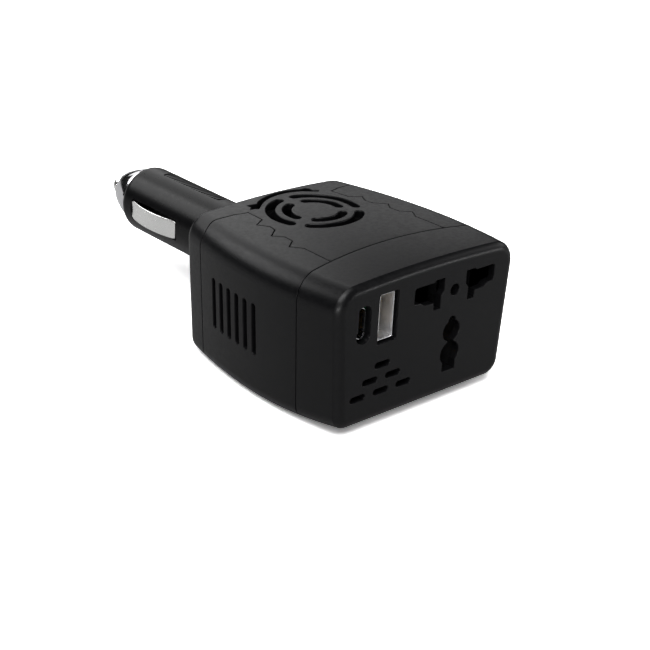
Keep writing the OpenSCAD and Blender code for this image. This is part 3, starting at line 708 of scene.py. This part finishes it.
def material(name, colour, metallic, rough, vary, spot=900, grain=4000, depth=0.00002, strength=0.4,
             specular=0.5, transmission=0.0, ior=1.5, tint=0.0):
    """A finish whose roughness drifts in patches of 1/spot metres, over a fine grain of 1/grain metres."""
    mat = bpy.data.materials.new(name)
    mat.use_nodes = True
    tree = mat.node_tree
    shader = tree.nodes["Principled BSDF"]
    for key, value in {"Base Color": (*colour, 1), "Metallic": metallic, "Roughness": rough, "IOR": ior,
                       "Specular IOR Level": specular, "Transmission Weight": transmission}.items():
        shader.inputs[key].default_value = value
    place = node(tree, "TexCoord")
    patches = node(tree, "TexNoise", Scale=spot, Detail=3, Roughness=0.55)
    fine = node(tree, "TexNoise", Scale=grain, Detail=5, Roughness=0.55)
    for noise in (patches, fine):
        link(tree, place, "Object", noise, "Vector")
    spread = node(tree, "MapRange", From_Min=0.3, From_Max=0.7, To_Min=max(rough - vary, 0.02),
                  To_Max=min(rough + vary, 1))
    link(tree, patches, "Fac", spread, "Value")
    link(tree, spread, "Result", shader, "Roughness")
    if tint:
        shades = node(tree, "ValToRGB")
        ends = shades.color_ramp.elements
        ends[0].position, ends[1].position = 0.3, 0.7
        for end, gain in zip(ends, (1 - tint, 1 + tint)):
            end.color = (*[min(c * gain, 1) for c in colour], 1)
        link(tree, patches, "Fac", shades, "Fac")
        link(tree, shades, "Color", shader, "Base Color")
    bump = node(tree, "Bump", Strength=strength, Distance=depth)
    link(tree, fine, "Fac", bump, "Height")
    link(tree, bump, "Normal", shader, "Normal")
    return mat


# colour, metallic, roughness, how far that drifts, and what else material() takes
FINISHES = {
    "shell_plastic": ((0.005, 0.005, 0.0057), 0, 0.34, 0.05,
                      dict(grain=3800, depth=0.00003, strength=0.35, specular=0.3, tint=0.1)),
    "barrel_plastic": ((0.0035, 0.0035, 0.004), 0, 0.3, 0.03,
                       dict(grain=5200, depth=0.000004, strength=0.1, specular=0.28, tint=0.1)),
    "chrome": ((0.78, 0.78, 0.8), 1, 0.12, 0.04, dict(grain=9000, depth=0.000004)),
    "nickel": ((0.93, 0.93, 0.92), 1, 0.22, 0.06, dict(grain=7000, depth=0.000006)),
    "spring_steel": ((0.5, 0.5, 0.52), 1, 0.32, 0.08, dict(grain=6000)),
    "insulator": ((0.006, 0.006, 0.0065), 0, 0.5, 0.08, dict(specular=0.25)),
    "fuse_glass": ((0.92, 0.96, 0.95), 0, 0.05, 0.02, dict(transmission=1, ior=1.47, depth=0.000003)),
    "brass": ((0.72, 0.46, 0.16), 1, 0.3, 0.08, dict(grain=5000, tint=0.12)),
    "port_steel": ((0.93, 0.93, 0.94), 1, 0.38, 0.06, dict(grain=6000, depth=0.000008)),
    "port_plastic": ((0.75, 0.75, 0.74), 0, 0.45, 0.06, {}),
    "port_dark": ((0.012, 0.012, 0.013), 0, 0.4, 0.06, {}),
    "circuit_board": ((0.012, 0.085, 0.04), 0, 0.35, 0.08, dict(spot=1800, tint=0.25)),
    "ferrite": ((0.035, 0.035, 0.038), 0, 0.75, 0.1, dict(grain=2500, depth=0.00008, tint=0.2)),
    "winding_tape": ((0.72, 0.42, 0.06), 0, 0.3, 0.08, dict(grain=2200, depth=0.00005, tint=0.15)),
    "can_sleeve": ((0.012, 0.02, 0.06), 0, 0.28, 0.06, dict(tint=0.1)),
    "copper_wire": ((0.72, 0.26, 0.1), 1, 0.28, 0.07, dict(grain=5000, tint=0.15)),
    "aluminium": ((0.62, 0.63, 0.65), 1, 0.4, 0.08, dict(depth=0.00003)),
    "transistor_epoxy": ((0.015, 0.015, 0.016), 0, 0.6, 0.1, dict(grain=3000, depth=0.00005)),
    "fan_plastic": ((0.011, 0.011, 0.012), 0, 0.38, 0.06, dict(grain=4200)),
    "screw_steel": ((0.25, 0.25, 0.26), 1, 0.35, 0.1, dict(grain=5000, tint=0.15)),
    "red_lead": ((0.5, 0.02, 0.015), 0, 0.42, 0.06, dict(grain=3000)),
    "black_lead": ((0.012, 0.012, 0.013), 0, 0.42, 0.06, dict(grain=3000)),
    "brown_lead": ((0.16, 0.06, 0.02), 0, 0.42, 0.06, dict(grain=3000)),
    "floor": ((0.38, 0.38, 0.38), 0, 0.7, 0.05, dict(spot=20, grain=400, strength=0.03)),
}
MATS = {name: material(name, *look, **more) for name, (*look, more) in FINISHES.items()}


def paint(obj, finish):
    obj.data.materials.clear()
    obj.data.materials.append(MATS[finish])


def piece(obj, body, finish, *nodes, slot=None):
    """Gives obj its finish and its body, and hides the CAD nodes that it stands for. slot is not used."""
    paint(obj, finish)
    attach(obj, body)
    if nodes:
        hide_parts(*nodes)
    return obj


# -------- small shapes
def solid_box(name, low, high, edge=0.15):
    """A box with bevelled edges."""
    bm = bmesh.new()
    low, high = Vector(low), Vector(high)
    bmesh.ops.create_cube(bm, size=1)
    size, mid = high - low, (high + low) / 2
    for v in bm.verts:
        v.co = Vector([c * s for c, s in zip(v.co, size)]) + mid
    if edge:
        bmesh.ops.bevel(bm, geom=bm.edges[:], offset=edge, segments=3, profile=0.5, affect="EDGES")
    return finish_mesh(name, bm)


def turned_z(name, cx, cy, profile, n=64):
    """Turns (radius, z) points about a vertical axis."""
    rings = [[(x, y, z) for x, y in circle(cx, cy, max(r, CLOSED_R), n)] for r, z in profile]
    return skin(name, rings)


def merge(name, objs, angle=32):
    """Joins separate closed meshes into one object. Their solids do not overlap."""
    bm = bmesh.new()
    for o in objs:
        bm.from_mesh(o.data)
        bpy.data.meshes.remove(o.data)
    return shown(name, bm, angle)


def curve_points(points, n=8):
    """A smooth curve through points (Catmull-Rom), n steps to a stretch."""
    pts = [Vector(p) for p in points]
    pts = [2 * pts[0] - pts[1]] + pts + [2 * pts[-1] - pts[-2]]
    out = []
    for i in range(1, len(pts) - 2):
        p0, p1, p2, p3 = pts[i - 1:i + 3]
        for k in range(n):
            t = k / n
            out.append(0.5 * (2 * p1 + (p2 - p0) * t + (2 * p0 - 5 * p1 + 4 * p2 - p3) * t * t
                              + (3 * p1 - p0 - 3 * p2 + p3) * t ** 3))
    return [tuple(p) for p in out] + [tuple(pts[-2])]


# -------- outlet and ports
CARRIER_Y = (2.4, 16.4)


def socket_carrier():
    """The block behind the outlet. Its cavities taper from the openings to the contacts."""
    y0, y1 = CARRIER_Y
    outline = [(-17.2, -9), (-7.4, -9), (-7.4, -30), (7.4, -30), (7.4, -9), (17.2, -9), (17.2, 3.8),
               (11, 4.4), (-17.2, 4.4)]
    levels = [(y0, -0.3), (y0 + 0.3, 0), (y1 - 0.3, 0), (y1, -0.3)]
    obj = prism("socket_carrier_block", moved(outline, OUTLET_X, OUTLET_Z), on_face, levels, step=3)

    def cavity(shape, near, far):
        return prism("cavity", shape, on_face, [(y0 - 1, 0), (y0, 0), (y0 + 4.5, near), (y1 - 1.6, far)])

    tools = []
    for s in (-1, 1):
        wide, tall = rounded(s * 9.7, -0.5, 11.8, 7.2, 0.6), rounded(s * 6.45, -1.6, 3.2, 9.8, 0.5)
        tools += [cavity(moved(wide, OUTLET_X, OUTLET_Z), -0.9, -1.1),
                  cavity(moved(tall, OUTLET_X, OUTLET_Z), -0.3, -0.4)]
    tools.append(prism("cavity", circle(OUTLET_X, OUTLET_Z - 1.75, 2), on_face, [(y0 - 1, 0), (y1 - 5, 0)]))
    earth = arc(0, -12.6, 5, 130, -60, 16) + [(3, -16.8)] + arc(0, -20.6, 4.4, 50, -46, 10) + [(3, -26.4)]
    earth = moved(earth + [(-x, z) for x, z in reversed(earth) if x > 0.01], OUTLET_X, OUTLET_Z)
    tools.append(cavity(convex(earth), -0.7, -0.9))
    for x, z in ((-9.7, -0.5), (9.7, -0.5), (0, -16)):
        slot = rounded(OUTLET_X + x, OUTLET_Z + z, 2.6, 2.6, 0.3, 3)
        tools.append(prism("slot", slot, on_face, [(y1 - 4, 0), (y1 + 1, 0)]))
    return clean(cut(obj, tools), 40)


def convex(points):
    """The convex hull of an outline, anticlockwise."""
    pts = sorted(set((round(x, 4), round(y, 4)) for x, y in points))

    def half(row):
        out = []
        for p in row:
            while len(out) > 1 and ((out[-1][0] - out[-2][0]) * (p[1] - out[-2][1])
                                    - (out[-1][1] - out[-2][1]) * (p[0] - out[-2][0])) <= 0:
                out.pop()
            out.append(p)
        return out[:-1]

    return half(pts) + half(pts[::-1])


def clip(name, x, z, h, gap):
    """Two sprung leaves that grip a blade or pin, with a web and a solder tab behind them."""
    t = 0.5
    path = [(gap / 2 + 0.7, 6.4), (gap / 2 + 0.15, 7.2), (gap / 2 - 0.25, 8.6), (gap / 2 + 0.05, 10.4),
            (gap / 2 + 0.2, 12.4), (gap / 2 - 0.1, 13.5), (gap / 2 - 0.7, 13.9), (0, 13.9)]
    path = curve_points([(a, b, 0) for a, b in path], 4)
    path = path + [(-a, b, 0) for a, b, _ in reversed(path[:-1])]
    rings = []
    for i, (a, b, _) in enumerate(path):
        p, q = path[max(i - 1, 0)], path[min(i + 1, len(path) - 1)]
        d = Vector((q[0] - p[0], q[1] - p[1])).normalized()
        n = Vector((-d.y, d.x)) * t / 2
        rings.append([(x + a + k * n.x, b + k * n.y, z + w * h / 2)
                      for k, w in ((1, -1), (1, 1), (-1, 1), (-1, -1))])
    leaf = skin(name, rings, angle=50)
    tab = solid_box("tab", (x - 0.9, 13.8, z - 0.9), (x + 0.9, 17.4, z + 0.9), 0.15)
    return clean(cut(leaf, [tab], "UNION"), 50)


def usb_a():
    x, z = USB_A_X, USB_Z
    shell = prism("usb_a_shell_can", rounded(x, z, 5.7, 13.1, 0.5), on_face,
                  [(1.1, -0.04), (1.17, 0), (14.9, 0), (15, -0.1)], step=2)
    tools = [prism("bore", rounded(x, z, 5.1, 12.5, 0.3), on_face,
                   [(0.7, 0.2), (1.1, 0.13), (1.3, 0), (14.6, 0)], step=2)]
    # sprung tabs are cut out of both broad sides
    for s in (-1, 1):
        for dz in (-3.2, 3.2):
            place = lambda u, v, d, s=s: (x + s * (2.85 - d), u, v)
            slot = [(7.4, dz + 1.5), (7.4, dz - 1.5), (12, dz - 1.25), (12, dz - 0.95), (7.8, dz - 1.1),
                    (7.8, dz + 1.1), (12, dz + 0.95), (12, dz + 1.25)]
            tools.append(prism("slot", moved(slot, 0, z), place, [(-1, 0), (0.6, 0)]))
    shell = clean(cut(shell, tools), 40)
    tongue = solid_box("usb_a_tongue_block", (x - 2.1, 2.9, z - 5.6), (x - 0.3, 14.5, z + 5.6), 0.25)
    pads = []
    for i in range(4):
        low, high = z - 4.5 + 2.5 * i + 0.1, z - 3.5 + 2.5 * i + 0.1
        pads.append(solid_box("pad", (x - 0.3 + 0.003, 3.6, low), (x - 0.17, 11.6, high), 0.03))
    return shell, tongue, merge("usb_a_contacts", pads)


def usb_c():
    x, z = USB_C_X, USB_Z
    shell = prism("usb_c_shell_can", rounded(x, z, 3.26, 8.94, 1.62, 12), on_face,
                  [(1.4, -0.06), (1.46, 0), (8.9, 0), (9, -0.1)], step=2)
    bore = prism("bore", rounded(x, z, 2.6, 8.34, 1.29, 12), on_face,
                 [(1.2, 0.1), (1.4, 0.06), (1.55, 0), (8.6, 0)], step=2)
    shell = clean(cut(shell, [bore]), 40)
    tongue = prism("usb_c_tongue_blade", rounded(x, z, 0.7, 6.6, 0.3, 4), on_face,
                   [(2.3, -0.15), (2.5, 0), (8.5, 0)])
    pads = []
    for s in (-1, 1):
        foot = x + s * 0.353
        left, right = foot - (0.05 if s < 0 else 0), foot + (0.05 if s > 0 else 0)
        for i in range(12):
            mid = z - 2.75 + 0.5 * i
            pads.append(solid_box("pad", (left, 3.1, mid - 0.12), (right, 6.6, mid + 0.12), 0.01))
    return shell, tongue, merge("usb_c_contacts", pads)


# -------- fan
FAN_Z = (9.2, 16.8)


def fan_rotor():
    """A hub and seven twisted, cambered blades."""
    z0, n = FAN_Z[0], 8
    hub = [(1.78, 4.4), (1.78, 3.4), (5.8, 3.4), (5.8, 1.8), (6.6, 1.8), (6.6, 6.2), (6.35, 6.75), (5.8, 7.0),
           (4.9, 7.0), (4.7, 6.85), (0, 6.85)]
    hub = turned_z("fan_rotor_hub", 0, FAN_Y, [(r, z0 + z) for r, z in hub], n=72)
    blades = []
    for k in range(7):
        rings = []
        for i in range(9):
            r, chord = lerp(6.4, 13.45, i / 8), lerp(5.4, 6.6, i / 8)
            pitch = math.radians(lerp(46, 33, i / 8))
            top, low = [], []
            for j in range(n + 1):
                s = 2 * j / n - 1
                half_t = 0.36 * math.sqrt(max(1 - s * s, 0)) * 0.9 + 0.03
                along, up = s * chord / 2, 0.55 * (1 - s * s)
                a = math.radians(360 * k / 7 - 9 * i / 8)
                a += (along * math.cos(pitch) - up * math.sin(pitch)) / r
                z = z0 + 4.5 + along * math.sin(pitch) + up * math.cos(pitch) - 0.3
                top.append((a, z + half_t))
                low.append((a, z - half_t))
            rings.append([(r * math.cos(a), FAN_Y + r * math.sin(a), z) for a, z in top + low[::-1]])
        blades.append(skin("blade", rings, angle=60))
    return clean(cut(hub, blades, "UNION"), 40)


# -------- screws
def screw(place, r, head_r, l):
    """A cross-recessed pan-head screw whose own z points to its head. place turns its frame into the outlet's."""
    head_h = 1.6
    profile = [(0, 0), (r * 0.6, 0.05), (r, 0.9)]
    z = 1.1
    while z < l - 0.5:
        profile += [(r, z), (r * 0.8, z + 0.2), (r, z + 0.4)]
        z += 0.55
    profile += [(r, l), (head_r, l), (head_r, l + head_h * 0.45)]
    for i in range(1, 7):
        a = math.radians(15 * i)
        profile.append((head_r * math.cos(a), l + head_h * (0.45 + 0.55 * math.sin(a))))
    rings = [[place(x, y, h) for x, y in circle(0, 0, max(q, CLOSED_R), 36)] for q, h in profile]
    obj = skin("screw", rings, angle=35)
    tools = []
    w, d, e = 0.16 * head_r, 0.75 * head_h, 0.55 * head_r
    for turn in (0, 1):
        rings = []
        for depth, scale in ((head_h * 0.3, 1.15), (-d, 0.45)):
            corners = [(-e * scale, -w), (e * scale, -w), (e * scale, w), (-e * scale, w)]
            if turn:
                corners = [(-b, a) for a, b in corners]
            rings.append([place(a, b, l + head_h + depth) for a, b in corners])
        tools.append(skin("cross", rings))
    return clean(cut(obj, tools), 35)


# -------- body and plug
piece(front_housing(), "housing", "shell_plastic", "front_housing")
piece(main_shell(), "housing", "shell_plastic", "main_shell")
piece(rear_housing(), "housing", "shell_plastic", "rear_housing")
piece(plug_barrel(), "housing", "barrel_plastic", "plug_barrel")
piece(nose_nut(), "nose_nut", "chrome", "nose_nut")
piece(nose_washer(), "nose_washer", "insulator", "nose_washer")
piece(centre_contact(), "centre_contact", "nickel", "centre_contact")
for s, side in ((-1, "left"), (1, "right")):
    piece(side_contact(s), f"side_contact_{side}", "nickel", f"side_contact_{side}")

spring = piece(contact_spring(), "housing", "spring_steel", "contact_spring")
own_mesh(spring)

FUSE_Y = (BARREL_END - 30, BARREL_END)
CAP_L = 6.05
cap = fillet([(0, 0), (3.2, 0), (3.2, CAP_L), (2.92, CAP_L), (2.92, 0.4), (0, 0.4)], 0.35)
caps = [turned("cap", [(r, end + way * y) for r, y in cap]) for end, way in zip(FUSE_Y, (1, -1))]
glass = turned("fuse_glass_tube", [(2.3, FUSE_Y[0] + 0.6), (2.9, FUSE_Y[0] + 0.6), (2.9, FUSE_Y[1] - 0.6),
                                   (2.3, FUSE_Y[1] - 0.6)], loop=True)
strand = [(0, FUSE_Y[0] + 0.5, 0), (0.5, FUSE_Y[0] + 10, 0.5), (-0.3, FUSE_Y[0] + 20, -0.2),
          (0, FUSE_Y[1] - 0.5, 0)]
strand = tube("fuse_link", curve_points(strand), 0.09, 8)
piece(merge("fuse_caps", caps), "centre_contact", "nickel", "fuse")
piece(glass, "centre_contact", "fuse_glass")
piece(strand, "centre_contact", "copper_wire")

seat = [(0, 81), (1.0, 81), (1.2, 81.2), (1.2, 86.6), (3.2, 86.6), (3.4, 86.8), (3.4, 88.2), (3.2, 88.4),
        (1.9, 88.4), (1.6, 87.9), (0, 87.9)]
piece(turned("spring_seat_rivet", seat), "housing", "brass", "spring_seat")

# -------- outlet and ports
piece(socket_carrier(), "housing", "insulator", "socket_carrier")
for name, x, z, h, gap in (("live_contact", -9.7, -0.5, 5.6, 10.4), ("neutral_contact", 9.7, -0.5, 5.6, 10.4),
                           ("earth_contact", 0, -16, 12, 5)):
    piece(clip(name + "_clip", OUTLET_X + x, OUTLET_Z + z, h, gap), "housing", "brass", name)

shell, tongue, pads = usb_a()
piece(shell, "housing", "port_steel", "usb_a_shell")
piece(tongue, "housing", "port_plastic", "usb_a_tongue")
piece(pads, "housing", "brass")
shell, tongue, pads = usb_c()
piece(shell, "housing", "chrome", "usb_c_shell", slot="port_steel")
piece(tongue, "housing", "port_dark", "usb_c_tongue")
piece(pads, "housing", "brass")

# -------- fan and fasteners
piece(fan_rotor(), "fan_rotor", "fan_plastic", "fan_rotor")

BOARD_Z = -13.0
SCREW_FOOT_Y, SCREW_FOOT_Z = BODY_L - 17.15, BOARD_Z - 4.99
screws = [screw(lambda a, b, c, x=x, z=z: (x + a, SCREW_FOOT_Y + c, z - b), 1.05, 2.6, 14)
          for x, z in SCREWS]
piece(merge("housing_screws_set", screws, 35), "housing", "screw_steel", "housing_screws")
screws = [screw(lambda a, b, c, x=x, y=y: (x + a, y + b, SCREW_FOOT_Z + c), 0.85, 2.0, 5)
          for x, y in STANDOFFS]
piece(merge("board_screws_set", screws, 35), "housing", "screw_steel", "board_screws")


# -------- electronics
def can(name, x, y, r, h):
    """An electrolytic capacitor: a sleeve with a groove near its foot, and a scored aluminium top."""
    z = BOARD_Z
    profile = [(0, z + 0.02), (r - 0.3, z + 0.02), (r, z + 0.3), (r, z + 1.6), (r - 0.25, z + 1.95),
               (r, z + 2.3), (r, z + h - 0.6), (r - 0.25, z + h - 0.25), (r - 0.6, z + h - 0.2), (0, z + h - 0.2)]
    body = turned_z(name + "_sleeve", x, y, profile)
    profile = [(0, z + h - 0.19), (r - 0.65, z + h - 0.19), (r - 0.65, z + h - 0.02), (0, z + h)]
    top = turned_z(name + "_top", x, y, profile)
    grooves = [solid_box("groove", (x - a, y - b, z + h - 0.08), (x + a, y + b, z + h + 1), 0)
               for a, b in ((r * 0.6, 0.12), (0.12, r * 0.6))]
    return body, cut(top, grooves)


body, top = can("output_capacitor", -15.7, 36, 3.9, 17)
piece(body, "housing", "can_sleeve", "output_capacitor")
piece(top, "housing", "aluminium")
pairs = [can("input_capacitor", 16.8, y, 2.8, 14) for y in (33.6, 40)]
piece(merge("input_capacitor_sleeves", [p[0] for p in pairs]), "housing", "can_sleeve", "input_capacitors")
piece(merge("input_capacitor_tops", [p[1] for p in pairs]), "housing", "aluminium")

# the choke's winding goes round a ring core
CHOKE_X, CHOKE_Y, CHOKE_Z = 14.8, 26.25, BOARD_Z + 4.6
N_TURNS, TURN_N = 22, 16
turns = []
for i in range(N_TURNS * TURN_N + 1):
    a = 2 * math.pi * i / (N_TURNS * TURN_N) * 0.94
    b = 2 * math.pi * i / TURN_N
    r = 3.25 + 1.02 * math.cos(b)
    turns.append((CHOKE_X + r * math.cos(a), CHOKE_Y + 2.15 * math.sin(b), CHOKE_Z + r * math.sin(a)))
piece(tube("choke_winding", turns, 0.2, 8), "housing", "copper_wire", "choke")
core = [(2.45, -1.85), (3.9, -1.85), (4.05, -1.7), (4.05, 1.7), (3.9, 1.85), (2.45, 1.85)]
core = [(r, CHOKE_Y + y) for r, y in core]
piece(turned("choke_core", core, loop=True, n=64, centre=(CHOKE_X, CHOKE_Z)), "housing", "ferrite")

# transformer: two E cores round a taped winding
WX, WY, WZ = 1.0, 36.0, BOARD_Z + 9.6
hole = solid_box("hole", (WX - 3.2, WY - 7.2, WZ - 9), (WX + 3.2, WY + 7.2, WZ + 9), 0)
outline = rounded(WX, WY, 18.4, 20, 4, 8)
levels = ((-6.4, -0.3), (-6.2, 0), (-5.6, 0), (-5.55, -0.25), (5.55, -0.25), (5.6, 0), (6.2, 0), (6.4, -0.3))
rings = [[(x, y, WZ + z) for x, y in offset(outline, d)] for z, d in levels]
winding = skin("transformer_winding_tape", rings)
tools = [hole]
for s in (-1, 1):
    mid = WX + s * 12.6
    tools.append(solid_box("side", (mid - 3.5, WY - 7.2, WZ - 7), (mid + 3.5, WY + 7.2, WZ + 7), 0))
piece(clean(cut(winding, tools)), "housing", "winding_tape", "transformer_winding")

# leads, by name: finish, radius and routes
LEADS = {
    "positive_lead": ("red_lead", 1.1, [
        [(0, 80.9, 0), (0, 70, 0), (0, 61, -0.4), (-4, 53, -4), (-8, 48.6, -9), (-8, 48, BOARD_Z + 0.05)]]),
    "negative_lead": ("black_lead", 1.1, [
        [(6.9, 69.9, 0), (6, 65.5, 0), (5.5, 60, -1), (8, 53, -5), (8, 48.6, -9), (8, 48, BOARD_Z + 0.05)]]),
    "outlet_leads": ("brown_lead", 0.9, [
        [(OUTLET_X + s * 9.7, 17.45, OUTLET_Z - 0.5), (OUTLET_X + s * 9.7, 18.7, OUTLET_Z - 0.5),
         (OUTLET_X + s * 9.5, 20.4, OUTLET_Z - 2.5), (OUTLET_X + s * 7, 20.6, 2),
         (OUTLET_X + s * 4, 20.6, BOARD_Z + 2), (OUTLET_X + s * 4, 20.6, BOARD_Z + 0.05)] for s in (-1, 1)]),
}
for name, (finish, r, paths) in LEADS.items():
    tubes = [tube(name, curve_points(path), r, 20) for path in paths]
    piece(merge(name + "_wire", tubes, 60), "housing", finish, name)

# small components on the main board, clear of the large ones
SMALL = [(-6, 22, 4.2, 3.2, 1.1), (2, 22.4, 2, 1.2, 0.6), (5.5, 22.4, 2, 1.2, 0.6), (-12, 22, 3, 2.4, 0.9),
         (-15, 28, 2, 1.2, 0.6), (-15, 46, 2, 1.2, 0.6), (-2, 46.5, 3.2, 1.6, 0.7), (13, 46.5, 2.6, 1.6, 0.8)]
chips = [solid_box("chip", (x - a / 2, y - b / 2, BOARD_Z + 0.06), (x + a / 2, y + b / 2, BOARD_Z + h), 0.08)
         for x, y, a, b, h in SMALL]
piece(merge("main_board_chips", chips), "housing", "transistor_epoxy")
feet = [solid_box("foot", (x + s * a / 2 - 0.35, y - b / 2 - 0.1, BOARD_Z),
                  (x + s * a / 2 + 0.35, y + b / 2 + 0.1, BOARD_Z + 0.05), 0)
        for x, y, a, b, h in SMALL for s in (-1, 1)]
piece(merge("main_board_pads", feet), "housing", "nickel")

# CAD nodes whose shape is right keep it
KEPT = {"ground_strap": "brass", "usb_board": "circuit_board", "main_board": "circuit_board",
        "fan_frame": "fan_plastic", "transformer_core": "ferrite", "heat_sinks": "aluminium",
        "power_transistors": "transistor_epoxy"}
for name, finish in KEPT.items():
    paint(NODES[name], finish)

# -------- floor, light and camera
PAPER = 1.7         # how white the floor is where it is seen
mesh = bpy.data.meshes.new("floor")
mesh.from_pydata([(-3, -3, 0), (3, -3, 0), (3, 3, 0), (-3, 3, 0)], [], [(0, 1, 2, 3)])
mesh.materials.append(MATS["floor"])
floor = bpy.data.objects.new("floor", mesh)
floor.location.z = cad_box[0][2] - 0.0001
bpy.context.scene.collection.objects.link(floor)

# white where it is seen, and a duller grey in the object's reflections
tree = MATS["floor"].node_tree
ray = node(tree, "LightPath")
paper = node(tree, "BsdfDiffuse", Color=(PAPER, PAPER, PAPER, 1))
mix = node(tree, "MixShader")
# painted light on the floor: an emission that only the camera sees
painted_floor_glow = node(tree, "Emission")
both = node(tree, "AddShader")
# painted light: the camera alone sees the floor glow, faintly near the object, which lightens its shadow there,
# and more strongly further out, which keeps the far floor white where the lights no longer reach
where = node(tree, "TexCoord")
far = node(tree, "VectorMath")
far.operation = "LENGTH"
rise = node(tree, "MapRange", From_Min=0.45, From_Max=1.3, To_Min=0.16, To_Max=1.3)
for ends in ((where, "Object", far, 0), (far, "Value", rise, "Value"), (rise, "Result", painted_floor_glow, "Strength"),
             (ray, "Is Camera Ray", mix, "Fac"), (tree.nodes["Principled BSDF"], "BSDF", mix, 1),
             (paper, "BSDF", both, 0), (painted_floor_glow, "Emission", both, 1), (both, "Shader", mix, 2),
             (mix, "Shader", tree.nodes["Material Output"], "Surface")):
    link(tree, *ends)

# white behind the object, and a dim room in its reflections
ROOM = 0.02         # brightness of the room
scene = bpy.context.scene
scene.view_settings.view_transform = "Standard"
scene.view_settings.gamma = 0.85
scene.world = bpy.data.worlds.new("studio")
scene.world.use_nodes = True
tree = scene.world.node_tree
ray = node(tree, "LightPath")
backdrop = node(tree, "Background", Color=(1, 1, 1, 1))
mix = node(tree, "MixShader")
room = tree.nodes["Background"]
room.inputs["Color"].default_value = (1, 1, 1, 1)
room.inputs["Strength"].default_value = ROOM
for ends in ((ray, "Is Camera Ray", mix, "Fac"), (room, "Background", mix, 1),
             (backdrop, "Background", mix, 2), (mix, "Shader", tree.nodes["World Output"], "Surface")):
    link(tree, *ends)

# soft boxes that face the object: place, width and height in metres, and power in watts
MIDDLE = Vector((0, -0.02, 0.02))
SOFT_BOXES = {
    "overhead_light": ((-0.45, -0.35, 1.65), (1.5, 1.7), 26),
    "back_left_light": ((-0.45, 0.9, 0.75), (0.7, 0.6), 4.6),
    "back_light": ((0.25, 0.95, 0.75), (1.0, 0.6), 3.1),
    "back_low_light": ((0.6, 0.9, 0.35), (0.9, 0.3), 1),
    "right_light": ((1.15, -0.35, 0.55), (0.8, 0.6), 3),
    "front_low_light": ((0.75, -0.85, 0.14), (0.6, 0.1), 2.2),
    "near_low_light": ((-0.75, -0.8, 0.12), (0.6, 0.12), 3.8),
    "near_high_light": ((-0.7, -0.7, 1.1), (0.8, 0.8), 11.5),
}
for name, (place, size, power) in SOFT_BOXES.items():
    light = bpy.data.lights.new(name, "AREA")
    light.shape = "RECTANGLE"
    light.size, light.size_y = size
    light.energy = power
    obj = bpy.data.objects.new(name, light)
    obj.location = place
    obj.rotation_euler = (MIDDLE - Vector(place)).to_track_quat("-Z", "Y").to_euler()
    scene.collection.objects.link(obj)

# the photograph's view
CAMERA_PLACE = (-283.6, -264.3, 180.0)
AZIMUTH, ELEVATION, ROLL = (math.radians(a) for a in (-42.991, 24.818, 3.135))
FOCAL_LENGTH, SENSOR = 88.46, 36
across = math.cos(ELEVATION)
back = Vector((math.sin(AZIMUTH) * across, -math.cos(AZIMUTH) * across, math.sin(ELEVATION)))
right = Vector((math.cos(AZIMUTH), math.sin(AZIMUTH), 0))
up = back.cross(right)
turned_right = math.cos(ROLL) * right + math.sin(ROLL) * up
turned_up = -math.sin(ROLL) * right + math.cos(ROLL) * up
lens = bpy.data.cameras.new("camera")
lens.sensor_width, lens.lens = SENSOR, FOCAL_LENGTH
lens.clip_start, lens.clip_end = 0.01, 20
camera = bpy.data.objects.new("camera", lens)
basis = Matrix((turned_right, turned_up, back)).transposed()
camera.matrix_world = Matrix.Translation(at(*CAMERA_PLACE)) @ basis.to_4x4()
scene.collection.objects.link(camera)
scene.camera = camera
